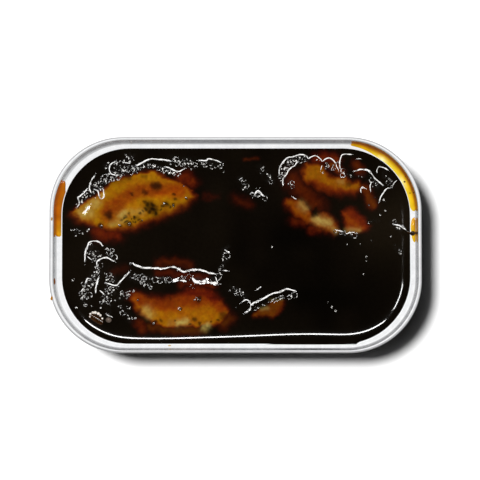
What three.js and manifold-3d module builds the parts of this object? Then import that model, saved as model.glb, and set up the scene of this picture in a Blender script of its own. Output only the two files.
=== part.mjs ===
// An opened oblong tin of stuffed squid in black ink sauce, seen with its peel-off lid gone.
// Millimetres, +Z up, +X along the tin. The origin is on the table under the middle of the tin.
import * as THREE from 'three';
import { mergeVertices } from 'three/addons/utils/BufferGeometryUtils.js';
import Module from 'manifold-3d';

const wasm = await Module();
wasm.setup();

// The tin: a standard flat fish tin, drawn from one sheet, with a seamed-on lid.
const TIN_LENGTH = 104;
const TIN_WIDTH = 60.4;
const TIN_HEIGHT = 28.5;
const SEAM_CORNER_RADIUS = 20.5;
const CORNER_EASE = 0.5; // how much the corner radius shrinks for each millimetre of inset
const SHEET = 0.25;
const GAP = 0.3;

// Sections of the tin, as inset from the seam's outer face and height.
const BASE_RECESS = 0.9;
const FOOT_OUTER_INSET = 4.0;
const FOOT_INNER_INSET = 5.5;
const PANEL_INSET = 6.5;
const WALL_INSET_LOW = 1.5;
const WALL_INSET_HIGH = 0.95;
const WALL_FOOT_HEIGHT = 2.8;
const SEAM_HEIGHT = 3.0;
const SEAM_THICKNESS = 1.35;
const CHUCK_LEAN = 0.2;
const CHANNEL_DEPTH = 3.2;
const CHANNEL_INSET = 2.0;
const LEDGE_DEPTH = 2.05;
const LEDGE_INSET = 2.75;
const LIP_INSET = 3.35;

// The contents.
const SAUCE_DEPTH = 3.0; // level below the seam's top
const SAUCE_WALL_RISE = 0.3;
const SAUCE_WALL_REACH = 1.6;

// Resolution of the faceted solids.
const CORNER_STEPS = 8;
const SAUCE_CORNER_STEPS = 6;
const SAUCE_LONG_STEPS = 24;
const SAUCE_SHORT_STEPS = 6;
const SAUCE_RINGS = 10;
const SQUID_STATIONS = 16;
const SQUID_BACK_SIDES = 14;
const SQUID_BELLY_SIDES = 6;

const HALF_LENGTH = TIN_LENGTH / 2;
const HALF_WIDTH = TIN_WIDTH / 2;
const SEAM_FOOT = TIN_HEIGHT - SEAM_HEIGHT;
const FLOOR_TOP = BASE_RECESS + SHEET;
const CONTENTS_FOOT = FLOOR_TOP + GAP;
const SAUCE_LEVEL = TIN_HEIGHT - SAUCE_DEPTH;
const SIDE_STRAIGHT = 2 * (HALF_WIDTH - SEAM_CORNER_RADIUS);
const LONG_STRAIGHT = 2 * (HALF_LENGTH - SEAM_CORNER_RADIUS);
const CORNER_ARC = (Math.PI / 2) * SEAM_CORNER_RADIUS;
const DEGREE = Math.PI / 180;

// A small repeatable random source.
function seededRandom(seed) {
  let state = seed;
  return () => {
    state = (state * 1664525 + 1013904223) % 4294967296;
    return state / 4294967296;
  };
}

// A point of the outline that lies `inset` inside the seam. `distance` runs round the seam's outer face,
// anticlockwise from the middle of the right-hand side.
function rimPoint(distance, inset) {
  const radius = SEAM_CORNER_RADIUS - CORNER_EASE * inset;
  const x = HALF_LENGTH - inset;
  const y = HALF_WIDTH - inset;
  const cx = x - radius;
  const cy = y - radius;
  const side = (x0, y0, x1, y1) => (f) => [x0 + (x1 - x0) * f, y0 + (y1 - y0) * f];
  const arc = (sx, sy, start) => (f) => {
    const angle = (start + 90 * f) * DEGREE;
    return [sx * cx + radius * Math.cos(angle), sy * cy + radius * Math.sin(angle)];
  };
  const legs = [
    [SIDE_STRAIGHT / 2, side(x, 0, x, cy)],
    [CORNER_ARC, arc(1, 1, 0)],
    [LONG_STRAIGHT, side(cx, y, -cx, y)],
    [CORNER_ARC, arc(-1, 1, 90)],
    [SIDE_STRAIGHT, side(-x, cy, -x, -cy)],
    [CORNER_ARC, arc(-1, -1, 180)],
    [LONG_STRAIGHT, side(-cx, -y, cx, -y)],
    [CORNER_ARC, arc(1, -1, 270)],
    [SIDE_STRAIGHT / 2, side(x, -cy, x, 0)],
  ];
  let left = distance;
  for (const [length, at] of legs) {
    if (left <= length) return at(left / length);
    left -= length;
  }
  return [x, 0];
}

// Distances round the rim at which every ring of a solid has a point.
function rimStations(cornerSteps, longSteps, shortSteps) {
  const legs = [
    [SIDE_STRAIGHT / 2, shortSteps / 2],
    [CORNER_ARC, cornerSteps],
    [LONG_STRAIGHT, longSteps],
    [CORNER_ARC, cornerSteps],
    [SIDE_STRAIGHT, shortSteps],
    [CORNER_ARC, cornerSteps],
    [LONG_STRAIGHT, longSteps],
    [CORNER_ARC, cornerSteps],
    [SIDE_STRAIGHT / 2, shortSteps / 2],
  ];
  const stations = [];
  let start = 0;
  for (const [length, steps] of legs) {
    for (let i = 0; i < steps; i++) stations.push(start + (length * i) / steps);
    start += length;
  }
  return stations;
}

const TIN_STATIONS = rimStations(CORNER_STEPS, 1, 2);

function tinRing([inset, z]) {
  return TIN_STATIONS.map((distance) => [...rimPoint(distance, inset), z]);
}

function centreOf(ring) {
  const sum = ring.reduce((a, p) => [a[0] + p[0], a[1] + p[1], a[2] + p[2]], [0, 0, 0]);
  return sum.map((value) => value / ring.length);
}

// Joins rings of equal length into one closed skin. The ends are capped to a centre point, or the last
// ring joins the first when `looped`. Points that fall together are merged.
function skin(rings, looped = false) {
  const points = [];
  const faces = [];
  const count = rings[0].length;
  rings.forEach((ring) => points.push(...ring));
  const last = looped ? rings.length : rings.length - 1;
  for (let j = 0; j < last; j++) {
    const a = j * count;
    const b = ((j + 1) % rings.length) * count;
    for (let i = 0; i < count; i++) {
      const n = (i + 1) % count;
      faces.push([a + i, a + n, b + n], [a + i, b + n, b + i]);
    }
  }
  if (!looped) {
    const low = points.push(centreOf(rings[0])) - 1;
    const high = points.push(centreOf(rings[rings.length - 1])) - 1;
    const top = (rings.length - 1) * count;
    for (let i = 0; i < count; i++) {
      const n = (i + 1) % count;
      faces.push([low, n, i], [high, top + i, top + n]);
    }
  }
  return closedGeometry(points, faces);
}

// Merges equal points, drops faces that have closed up, and turns the skin to face outwards.
function closedGeometry(points, faces) {
  const index = new Map();
  const kept = [];
  const merged = points.map((point) => {
    const key = point.map((value) => value.toFixed(4)).join();
    if (!index.has(key)) index.set(key, kept.push(point) - 1);
    return index.get(key);
  });
  let volume = 0;
  const triangles = [];
  for (const face of faces) {
    const [a, b, c] = face.map((i) => merged[i]);
    if (a === b || b === c || c === a) continue;
    const [p, q, r] = [a, b, c].map((i) => new THREE.Vector3(...kept[i]));
    volume += p.dot(q.cross(r));
    triangles.push([a, b, c]);
  }
  const order = volume > 0 ? [0, 1, 2] : [0, 2, 1];
  const geometry = new THREE.BufferGeometry();
  geometry.setAttribute('position', new THREE.Float32BufferAttribute(kept.flat(), 3));
  geometry.setIndex(triangles.flatMap((t) => order.map((k) => t[k])));
  return geometry;
}

function toManifold(geometry) {
  const merged = mergeVertices(geometry);
  return new wasm.Manifold(new wasm.Mesh({
    numProp: 3,
    vertProperties: new Float32Array(merged.attributes.position.array),
    triVerts: new Uint32Array(merged.index.array),
  }));
}

function fromManifold(solid) {
  const mesh = solid.getMesh();
  const geometry = new THREE.BufferGeometry();
  geometry.setAttribute('position', new THREE.Float32BufferAttribute(mesh.vertProperties, 3));
  geometry.setIndex(Array.from(mesh.triVerts));
  return geometry;
}

// Points on an arc of a section, in degrees.
function sectionArc(inset, z, radius, from, to, steps) {
  return Array.from({ length: steps + 1 }, (_, i) => {
    const angle = (from + ((to - from) * i) / steps) * DEGREE;
    return [inset + radius * Math.cos(angle), z + radius * Math.sin(angle)];
  });
}

// The drawn body: a recessed base panel, a standing foot, a rounded heel, a slightly tapered wall, and a
// flange that stands up inside the seam.
function tinBodyGeometry() {
  const heel = [
    [FOOT_OUTER_INSET, 0],
    [3.0, 0.22],
    [2.2, 0.85],
    [1.7, 1.75],
    [WALL_INSET_LOW, WALL_FOOT_HEIGHT],
  ];
  const flangeInset = SHEET + GAP;
  const flangeTop = TIN_HEIGHT - SHEET - GAP;
  const outside = [
    [PANEL_INSET, BASE_RECESS],
    [FOOT_INNER_INSET, 0],
    ...heel,
    [WALL_INSET_HIGH, SEAM_FOOT - 0.6],
    [flangeInset, SEAM_FOOT + 0.1],
    [flangeInset, flangeTop],
  ];
  const inside = [
    [flangeInset + SHEET, flangeTop],
    [flangeInset + SHEET, SEAM_FOOT + 0.1],
    [WALL_INSET_HIGH + SHEET, SEAM_FOOT - 0.6],
    ...heel.slice().reverse().map(([inset, z]) => [inset + 0.8 * SHEET, z + 0.8 * SHEET]),
    [FOOT_INNER_INSET + 0.5 * SHEET, SHEET],
    [PANEL_INSET + 0.5 * SHEET, FLOOR_TOP],
  ];
  return skin([...outside, ...inside].map(tinRing));
}

// What is left of the lid: the rolled seam, the wall inside it, a narrow channel, and the ledge whose
// inner lip is the line where the lid tore off.
function lidRingGeometry() {
  const crest = SEAM_THICKNESS / 2;
  const channelTop = TIN_HEIGHT - CHANNEL_DEPTH;
  const ledgeTop = TIN_HEIGHT - LEDGE_DEPTH;
  const channelRadius = 0.45;
  const chuckFoot = SEAM_THICKNESS + CHUCK_LEAN;
  const above = [
    [0, SEAM_FOOT],
    ...sectionArc(crest, TIN_HEIGHT - crest, crest, 180, 0, 6),
    ...sectionArc(CHANNEL_INSET, channelTop + channelRadius, channelRadius, 180, 360, 4),
    [CHANNEL_INSET + channelRadius, ledgeTop - 0.25],
    [LEDGE_INSET, ledgeTop],
    [LIP_INSET, ledgeTop - 0.05],
  ];
  const below = [
    [LIP_INSET, ledgeTop - 0.05 - SHEET],
    [LEDGE_INSET + 0.1, ledgeTop - SHEET],
    [CHANNEL_INSET + channelRadius + SHEET, ledgeTop - 0.5],
    ...sectionArc(CHANNEL_INSET, channelTop + channelRadius, channelRadius + SHEET, 360, 180, 4),
    [chuckFoot - CHUCK_LEAN - SHEET, TIN_HEIGHT - crest],
    ...sectionArc(crest, TIN_HEIGHT - crest, crest - SHEET, 0, 180, 6).slice(1),
    [SHEET, SEAM_FOOT],
  ];
  return skin([...above, ...below].map(tinRing), true);
}

// The four squid: plump stuffed mantles with a blunt end and a pointed one, lying on the tin's floor.
// `heading` turns the blunt end anticlockwise from +X, `bow` bends the middle sideways, `top` is the height
// of the back above the sauce. A `trough` parts the back into two folds, and a `fold` stands up from it,
// both by depth or height and by half-width, with the fold's place and reach along the body.
const SQUID = [
  {
    name: 'squid_back_left', x: -28.2, y: 12.2, length: 42, width: 24.5, heading: 10,
    bow: 1.0, top: 1.5, blunt: 3.6, point: 2.8,
  },
  {
    name: 'squid_back_right', x: 26.2, y: 11.6, length: 38, width: 23.5, heading: 153,
    bow: 0, top: 2.6, blunt: 3.6, point: 3, trough: { depth: 3.4, halfWidth: 3.2, reach: 0.62 },
  },
  {
    name: 'squid_front_left', x: -16.6, y: -15.2, length: 36, width: 23.5, heading: 180,
    bow: 0.4, top: 1.4, blunt: 3.4, point: 2.8,
  },
  {
    name: 'squid_front_middle', x: 17.6, y: -13.2, length: 31, width: 19, heading: 25,
    bow: 0, top: -0.6, blunt: 3, point: 2.4, fold: { at: -0.5, height: 3, halfWidth: 2.6, reach: 0.5 },
  },
];

// The rings of one squid. `grow` swells it on every side, for the hollow that it leaves in the sauce.
function squidRings(squid, grow) {
  const foot = grow > 0 ? CONTENTS_FOOT - 1 : CONTENTS_FOOT;
  const middle = (CONTENTS_FOOT + SAUCE_LEVEL + squid.top) / 2;
  const halfHeight = SAUCE_LEVEL + squid.top - middle + grow;
  const halfLength = squid.length / 2 + grow;
  const halfWidth = squid.width / 2 + grow;
  const heading = squid.heading * DEGREE;
  const { trough, fold } = squid;
  const bell = (distance, reach, power) => Math.exp(-((Math.abs(distance) / reach) ** power));
  const rings = [];
  for (let i = 1; i < SQUID_STATIONS; i++) {
    const u = -Math.cos((Math.PI * i) / SQUID_STATIONS);
    const girth = Math.sqrt(1 - Math.abs(u) ** (u > 0 ? squid.blunt : squid.point));
    const ring = [];
    for (let k = 0; k < SQUID_BACK_SIDES + SQUID_BELLY_SIDES; k++) {
      const isBack = k < SQUID_BACK_SIDES;
      const turn = isBack ? k / SQUID_BACK_SIDES : 1 + (k - SQUID_BACK_SIDES) / SQUID_BELLY_SIDES;
      const across = halfWidth * girth * Math.cos(Math.PI * turn);
      let z = middle + halfHeight * girth * Math.sin(Math.PI * turn);
      if (trough && isBack) z -= trough.depth * bell(across, trough.halfWidth, 2) * bell(u, trough.reach, 4);
      if (fold && isBack) z += fold.height * bell(across, fold.halfWidth, 2) * bell(u - fold.at, fold.reach, 2);
      const sideways = across + squid.bow * (1 - 2 * u * u);
      ring.push([
        squid.x + halfLength * u * Math.cos(heading) - sideways * Math.sin(heading),
        squid.y + halfLength * u * Math.sin(heading) + sideways * Math.cos(heading),
        Math.max(foot, z),
      ]);
    }
    rings.push(ring);
  }
  return rings;
}

// Scraps of tentacle and filling under the sauce's skin, as low bumps on it: patches of several each.
const SCRAP_PATCHES = [
  { x: -41, y: 20.5, spreadX: 4, spreadY: 2.5, count: 4 },
  { x: -25, y: 23.0, spreadX: 12, spreadY: 1.5, count: 6 },
  { x: 6, y: 19.0, spreadX: 5, spreadY: 6, count: 5 },
  { x: 21, y: 23.5, spreadX: 7, spreadY: 1.2, count: 4 },
  { x: 42, y: 17.0, spreadX: 2.5, spreadY: 5, count: 4 },
  { x: -38, y: -6.0, spreadX: 4.5, spreadY: 7, count: 7 },
  { x: -18, y: -7.5, spreadX: 13, spreadY: 1.5, count: 6 },
  { x: -1, y: -6.5, spreadX: 3, spreadY: 6, count: 5 },
];
const SCRAP_HEIGHT = 0.7;
const SCRAP_RADIUS = 2.4;

function scrapBumps() {
  const random = seededRandom(11);
  return SCRAP_PATCHES.flatMap((patch) => Array.from({ length: patch.count }, () => ({
    x: patch.x + (2 * random() - 1) * patch.spreadX,
    y: patch.y + (2 * random() - 1) * patch.spreadY,
    height: SCRAP_HEIGHT * (0.6 + 0.6 * random()),
  })));
}

// Depth of a point inside the sauce's edge.
function distanceFromEdge(x, y) {
  const inset = LIP_INSET + GAP;
  const radius = SEAM_CORNER_RADIUS - CORNER_EASE * inset;
  const dx = Math.abs(x) - (HALF_LENGTH - inset - radius);
  const dy = Math.abs(y) - (HALF_WIDTH - inset - radius);
  return radius - Math.hypot(Math.max(dx, 0), Math.max(dy, 0)) - Math.min(Math.max(dx, dy), 0);
}

// The sauce fills the tin up to its level, climbs a little at the edge, and has each squid cut out of it.
function sauceGeometry() {
  const bumps = scrapBumps();
  const height = (x, y) => {
    const wall = SAUCE_WALL_RISE * Math.exp(-distanceFromEdge(x, y) / SAUCE_WALL_REACH);
    const heights = bumps.map((b) => {
      const reach = ((x - b.x) ** 2 + (y - b.y) ** 2) / SCRAP_RADIUS ** 2;
      return b.height * Math.exp(-reach);
    });
    return SAUCE_LEVEL + wall + Math.max(...heights);
  };
  const stations = rimStations(SAUCE_CORNER_STEPS, SAUCE_LONG_STEPS, SAUCE_SHORT_STEPS);
  const ring = (inset, z) => stations.map((distance) => [...rimPoint(distance, inset), z]);
  const edge = ring(LIP_INSET + GAP, SAUCE_LEVEL);
  const spineEnd = HALF_LENGTH - HALF_WIDTH;
  const surface = Array.from({ length: SAUCE_RINGS + 1 }, (_, j) => {
    const inward = j / SAUCE_RINGS;
    return edge.map(([x, y]) => {
      const spineX = Math.max(-spineEnd, Math.min(spineEnd, x));
      const px = x + (spineX - x) * inward;
      const py = y * (1 - inward);
      return [px, py, height(px, py)];
    });
  });
  const underChannel = TIN_HEIGHT - CHANNEL_DEPTH - SHEET - GAP;
  const wallSide = WALL_INSET_HIGH + SHEET + GAP;
  const rings = [
    ring(FOOT_OUTER_INSET + 0.5, CONTENTS_FOOT),
    ring(WALL_INSET_LOW + 1.3, CONTENTS_FOOT + 0.7),
    ring(WALL_INSET_LOW + SHEET + GAP, CONTENTS_FOOT + 2.2),
    ring(wallSide, underChannel),
    ring(LIP_INSET - GAP, underChannel),
    ring(LIP_INSET + GAP, SAUCE_LEVEL - 0.2),
    ...surface,
  ];
  const hollows = SQUID.map((squid) => toManifold(skin(squidRings(squid, GAP))));
  hollows.push(toManifold(skin(tentacleRings(GAP))));
  const sauce = hollows.reduce((solid, hollow) => solid.subtract(hollow), toManifold(skin(rings)));
  return fromManifold(sauce);
}

// A curled tip of tentacle that pokes up out of the sauce near the front left corner.
const TENTACLE = { x: -37.2, y: -20.4, length: 7, radius: 1.7, heading: -12, top: 0.9, droop: 2.2 };
const TENTACLE_STATIONS = 8;
const TENTACLE_SIDES = 10;

function tentacleRings(grow) {
  const heading = TENTACLE.heading * DEGREE;
  const rings = [];
  for (let i = 1; i < TENTACLE_STATIONS; i++) {
    const u = -Math.cos((Math.PI * i) / TENTACLE_STATIONS);
    const radius = (TENTACLE.radius + grow) * Math.sqrt(1 - u * u);
    const along = (TENTACLE.length / 2 + grow) * u;
    const axis = SAUCE_LEVEL + TENTACLE.top - TENTACLE.radius - TENTACLE.droop * u * u;
    const ring = [];
    for (let k = 0; k < TENTACLE_SIDES; k++) {
      const angle = (2 * Math.PI * k) / TENTACLE_SIDES;
      const across = radius * Math.cos(angle);
      ring.push([
        TENTACLE.x + along * Math.cos(heading) - across * Math.sin(heading),
        TENTACLE.y + along * Math.sin(heading) + across * Math.cos(heading),
        axis + radius * Math.sin(angle),
      ]);
    }
    rings.push(ring);
  }
  return rings;
}

// Oil that ran into the channel round the opening, as distances round the rim.
const OIL = [
  { name: 'oil_right_side', from: 1.3, to: 8.4 },
  { name: 'oil_back_right_corner', from: 10.6, to: 39.8 },
  { name: 'oil_left_side', from: 127.8, to: 144.1 },
];
const OIL_STEP = 2.4;
const OIL_END = 1.2; // length over which a pool rounds off at each end

// One pool: its section sinks into the channel, lies over the ledge, and shrinks towards both ends.
function oilGeometry(pool) {
  const ledge = TIN_HEIGHT - LEDGE_DEPTH + GAP;
  const section = [
    [1.75, ledge + 0.4],
    [2.45, ledge + 0.32],
    [3.2, ledge + 0.2],
    [3.2, ledge],
    [2.45, ledge],
    [2.14, ledge - 0.35],
    [2.12, TIN_HEIGHT - 2.85],
    [1.86, TIN_HEIGHT - 2.85],
    [1.78, ledge - 0.35],
  ];
  const middle = [2.2, ledge + 0.1];
  const length = pool.to - pool.from;
  const inner = Math.ceil((length - 2 * OIL_END) / OIL_STEP);
  const stations = [0.15, 0.6 * OIL_END];
  for (let i = 0; i <= inner; i++) stations.push(OIL_END + ((length - 2 * OIL_END) * i) / inner);
  stations.push(length - 0.6 * OIL_END, length - 0.15);
  const rings = stations.map((along) => {
    const fromEnd = Math.min(along, length - along, OIL_END) / OIL_END;
    const swell = Math.sqrt(1 - (1 - fromEnd) ** 2);
    return section.map(([inset, z]) => {
      const at = middle[0] + (inset - middle[0]) * swell;
      return [...rimPoint(pool.from + along, at), middle[1] + (z - middle[1]) * swell];
    });
  });
  return skin(rings);
}

const aluminium = new THREE.MeshStandardMaterial({ color: 0xd9dadb, metalness: 1, roughness: 0.3 });
const inkSauce = new THREE.MeshStandardMaterial({ color: 0x0a0603, metalness: 0, roughness: 0.08 });
const squidFlesh = new THREE.MeshStandardMaterial({ color: 0xa06212, metalness: 0, roughness: 0.3 });
const tentacleFlesh = new THREE.MeshStandardMaterial({ color: 0x6a4a38, metalness: 0, roughness: 0.3 });
const amberOil = new THREE.MeshStandardMaterial({ color: 0xc87f0a, metalness: 0, roughness: 0.08 });

const tinOfSquid = new THREE.Group();

function addPiece(name, geometry, material) {
  const mesh = new THREE.Mesh(geometry, material);
  mesh.name = name;
  tinOfSquid.add(mesh);
}

addPiece('tin_body', tinBodyGeometry(), aluminium);
addPiece('lid_ring', lidRingGeometry(), aluminium);
addPiece('sauce', sauceGeometry(), inkSauce);
for (const squid of SQUID) addPiece(squid.name, skin(squidRings(squid, 0)), squidFlesh);
addPiece('tentacle_tip', skin(tentacleRings(0)), tentacleFlesh);
for (const pool of OIL) addPiece(pool.name, oilGeometry(pool), amberOil);

export default tinOfSquid;
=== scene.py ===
# An opened oblong tin of stuffed squid in black ink sauce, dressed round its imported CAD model.
# Sizes are in millimetres in the sections below, and become metres where a mesh is made.
import math

import bmesh
import bpy
import numpy as np
from mathutils import Matrix, Quaternion, Vector


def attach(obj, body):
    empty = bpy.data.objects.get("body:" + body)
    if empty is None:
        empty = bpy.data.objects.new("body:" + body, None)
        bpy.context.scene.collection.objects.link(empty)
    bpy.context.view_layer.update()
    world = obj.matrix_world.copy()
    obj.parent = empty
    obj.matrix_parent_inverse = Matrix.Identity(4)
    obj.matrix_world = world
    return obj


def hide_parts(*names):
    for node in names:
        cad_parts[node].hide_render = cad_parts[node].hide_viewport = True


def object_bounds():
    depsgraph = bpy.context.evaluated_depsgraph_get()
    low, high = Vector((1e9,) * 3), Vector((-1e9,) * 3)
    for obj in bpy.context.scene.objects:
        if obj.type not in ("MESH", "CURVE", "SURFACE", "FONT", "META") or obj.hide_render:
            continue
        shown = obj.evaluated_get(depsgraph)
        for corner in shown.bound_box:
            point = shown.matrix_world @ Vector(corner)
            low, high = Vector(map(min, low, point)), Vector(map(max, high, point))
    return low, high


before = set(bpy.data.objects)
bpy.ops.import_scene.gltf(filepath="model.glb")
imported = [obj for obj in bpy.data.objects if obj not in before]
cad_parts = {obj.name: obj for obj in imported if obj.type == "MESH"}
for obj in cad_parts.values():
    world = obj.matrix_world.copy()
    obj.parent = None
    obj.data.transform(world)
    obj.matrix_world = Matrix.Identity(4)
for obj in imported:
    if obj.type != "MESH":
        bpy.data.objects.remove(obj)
cad_low, cad_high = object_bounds()
MM = 0.001

# ---------------------------------------------------------------- table, lights and camera
# A white table under plain studio light. A round lamp gives the light and the short shadow, which a wider one
# softens. The wet surfaces mirror two long softboxes, behind the tin and to its left. The metal mirrors a big
# overhead screen in a pale cloth tent, which is brighter at its ends and to the back.
TABLE_HALF = 3.0
TABLE_ALBEDO = 0.25
MIRRORED_SHADE_ALBEDO = 0.09
SKY_GREY = 0.015
LAMP_DISTANCE = 3.0
KEY_TILT = (-11.2, 4.2)
KEY_WIDTH = 8.2
KEY_RADIANCE = 255
FILL_WIDTH = 24
FILL_SHARE = 0.065
BACK_TILT = 19
TENT_RADIUS = 1.5 * LAMP_DISTANCE
TENT_GREYS = [(0.0, 0.2), (0.35, 0.42), (0.72, 0.5), (0.86, 0.6)]
TENT_ENDS = 0.8
TENT_BACK = 1.7
FRAME_WIDTH = 134
VIEW_CENTRE = (1.26, 1.3)
CAMERA_DISTANCE = 800
CAMERA_ELEVATION = 86
SENSOR = 36

scene = bpy.context.scene
scene.view_settings.view_transform = "Standard"
lit_table, lit_part, lit_metal, lit_liquid = (
    bpy.data.collections.new(name) for name in ("lit_table", "lit_part", "lit_metal", "lit_liquid"))
lit_part.children.link(lit_metal)
lit_part.children.link(lit_liquid)


def add_object(name, mesh):
    piece = bpy.data.objects.new(name, mesh)
    scene.collection.objects.link(piece)
    return piece


def feed(tree, node, inputs):
    """Sets a node's inputs, each to a value or to another node's output."""
    for slot, value in inputs.items():
        if isinstance(value, bpy.types.NodeSocket):
            tree.links.new(value, node.inputs[slot])
        else:
            node.inputs[slot].default_value = value


def add_node(tree, kind, inputs=None, output=0, **settings):
    """Adds a node with these settings and inputs, and gives back one of its outputs."""
    node = tree.nodes.new(kind)
    for key, value in settings.items():
        setattr(node, key, value)
    feed(tree, node, inputs or {})
    return node.outputs[output]


def mixed(tree, factor, a, b, kind="RGBA"):
    return add_node(tree, "ShaderNodeMix", {"Factor": factor, "A": a, "B": b}, "Result", data_type=kind)


def new_material(name):
    material = bpy.data.materials.new(name)
    material.use_nodes = True
    return material, material.node_tree, material.node_tree.nodes["Principled BSDF"]


table_mesh = bpy.data.meshes.new("table")
corners = [(x * TABLE_HALF, y * TABLE_HALF, 0) for x, y in ((-1, -1), (1, -1), (1, 1), (-1, 1))]
table_mesh.from_pydata(corners, [], [(0, 1, 2, 3)])
table = add_object("table", table_mesh)
lit_table.objects.link(table)
table_paint, tree, shader = new_material("table_white")
# Painted shade in reflections: where the metal mirrors the table, the table is painted darker than it is.
mirrored = add_node(tree, "ShaderNodeLightPath", output="Is Glossy Ray")
albedo = mixed(tree, mirrored, (*[TABLE_ALBEDO] * 3, 1), (*[MIRRORED_SHADE_ALBEDO] * 3, 1))
feed(tree, shader, {"Base Color": albedo, "Roughness": 0.9, "Specular IOR Level": 0.0})
table_mesh.materials.append(table_paint)

world = bpy.data.worlds.new("studio")
scene.world = world
world.use_nodes = True
sky = world.node_tree
dim = sky.nodes["Background"]
dim.inputs["Color"].default_value = (SKY_GREY, SKY_GREY, SKY_GREY, 1)
white = add_node(sky, "ShaderNodeBackground", {"Color": (1, 1, 1, 1)})
seen = add_node(sky, "ShaderNodeLightPath", output="Is Camera Ray")
either = add_node(sky, "ShaderNodeMixShader", {0: seen, 1: dim.outputs[0], 2: white})
sky.links.new(either, sky.nodes["World Output"].inputs["Surface"])


def softbox(name, receivers, tilt, width, radiance, shape="RECTANGLE", turn=0):
    """A lamp that faces the tin, which sees it at this tilt from straight up and this wide, in degrees."""
    lamp = bpy.data.lights.new(name, "AREA")
    lamp.shape = shape
    lamp.size, lamp.size_y = (2 * LAMP_DISTANCE * math.tan(math.radians(way / 2)) for way in width)
    area = lamp.size * lamp.size_y * (math.pi / 4 if shape == "ELLIPSE" else 1)
    lamp.energy = radiance * math.pi * area
    box = bpy.data.objects.new(name, lamp)
    place = Vector((math.tan(math.radians(tilt[0])), math.tan(math.radians(tilt[1])), 1))
    box.location = place.normalized() * LAMP_DISTANCE
    across = Vector((0, 1, 0)).cross(place).normalized()
    aim = Matrix((across, place.normalized().cross(across), place.normalized())).transposed().to_quaternion()
    box.rotation_euler = (aim @ Quaternion((0, 0, 1), math.radians(turn))).to_euler()
    box.light_linking.receiver_collection = receivers
    scene.collection.objects.link(box)
    return box


key = softbox("key_lamp", lit_part, KEY_TILT, (KEY_WIDTH, KEY_WIDTH), KEY_RADIANCE, "ELLIPSE")
key.visible_glossy = False
on_table = KEY_RADIANCE / TABLE_ALBEDO
softbox("table_key_lamp", lit_table, KEY_TILT, (KEY_WIDTH, KEY_WIDTH), (1 - FILL_SHARE) * on_table, "ELLIPSE")
fill_radiance = FILL_SHARE * on_table * (KEY_WIDTH / FILL_WIDTH) ** 2
softbox("table_fill", lit_table, KEY_TILT, (FILL_WIDTH, FILL_WIDTH), fill_radiance, "ELLIPSE")
for lamp in (softbox("back_softbox", lit_liquid, (1.0, BACK_TILT), (24, 2.1), 70),
             softbox("left_softbox", lit_liquid, (-13.9, 9.35), (1.8, 8.2), 60, turn=-15),
             softbox("overhead_screen", lit_metal, (-6, 10), (60, 50), 0.42, "ELLIPSE")):
    lamp.visible_diffuse = False


def math_of(tree, operation, *values):
    return add_node(tree, "ShaderNodeMath", dict(enumerate(values)), operation=operation)


def mapped(tree, value, low, high, start=0.0, end=1.0):
    """A value that goes from low to high as another goes from start to end."""
    return add_node(tree, "ShaderNodeMapRange", {
        "Value": value, "From Min": start, "From Max": end, "To Min": low, "To Max": high}, "Result")


def ramp_of(tree, value, stops):
    """A colour ramp through stops of (position, colour)."""
    color = add_node(tree, "ShaderNodeValToRGB", {"Fac": value}, "Color")
    elements = color.node.color_ramp.elements
    for position, _ in stops[2:]:
        elements.new(position)
    for element, (position, colour) in zip(elements, stops):
        element.position = position
        element.color = (*colour, 1)
    return color


tent_mesh = bpy.data.meshes.new("tent")
edit = bmesh.new()
bmesh.ops.create_uvsphere(edit, u_segments=32, v_segments=16, radius=TENT_RADIUS)
bmesh.ops.reverse_faces(edit, faces=edit.faces)
edit.to_mesh(tent_mesh)
edit.free()
tent = add_object("tent", tent_mesh)
tent.visible_camera = False
tent.visible_diffuse = False
tent.visible_shadow = False
tent.light_linking.receiver_collection = lit_metal
tent_cloth, tree, shader = new_material("tent_cloth")
spot = add_node(tree, "ShaderNodeTexCoord", output="Object")
way = add_node(tree, "ShaderNodeSeparateXYZ", {0: spot}).node.outputs
lift = math_of(tree, "DIVIDE", way["Z"], TENT_RADIUS)
cloth = ramp_of(tree, lift, [(at, [grey] * 3) for at, grey in TENT_GREYS])
aside = math_of(tree, "POWER", way["X"], 2.0)
ends = math_of(tree, "MULTIPLY_ADD", aside, TENT_ENDS / TENT_RADIUS ** 2, 1.0)
sides = math_of(tree, "MULTIPLY", ends, mapped(tree, way["Y"], 1.0, TENT_BACK, 0.0, TENT_RADIUS))
bounces = add_node(tree, "ShaderNodeLightPath", output="Diffuse Depth")
strength = math_of(tree, "MULTIPLY", sides, math_of(tree, "LESS_THAN", bounces, 0.5))
glow = add_node(tree, "ShaderNodeEmission", {"Color": cloth, "Strength": strength})
tree.links.new(glow, tree.nodes["Material Output"].inputs["Surface"])
tent_mesh.materials.append(tent_cloth)

camera_data = bpy.data.cameras.new("camera")
camera = bpy.data.objects.new("camera", camera_data)
scene.collection.objects.link(camera)
scene.camera = camera
target = Vector((VIEW_CENTRE[0], VIEW_CENTRE[1], cad_high.z / MM)) * MM
elevation = math.radians(CAMERA_ELEVATION)
camera.location = target + Vector((0, -math.cos(elevation), math.sin(elevation))) * CAMERA_DISTANCE * MM
camera.rotation_euler = (math.pi / 2 - elevation, 0, 0)
camera_data.sensor_width = SENSOR
camera_data.lens = SENSOR * CAMERA_DISTANCE / FRAME_WIDTH

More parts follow.
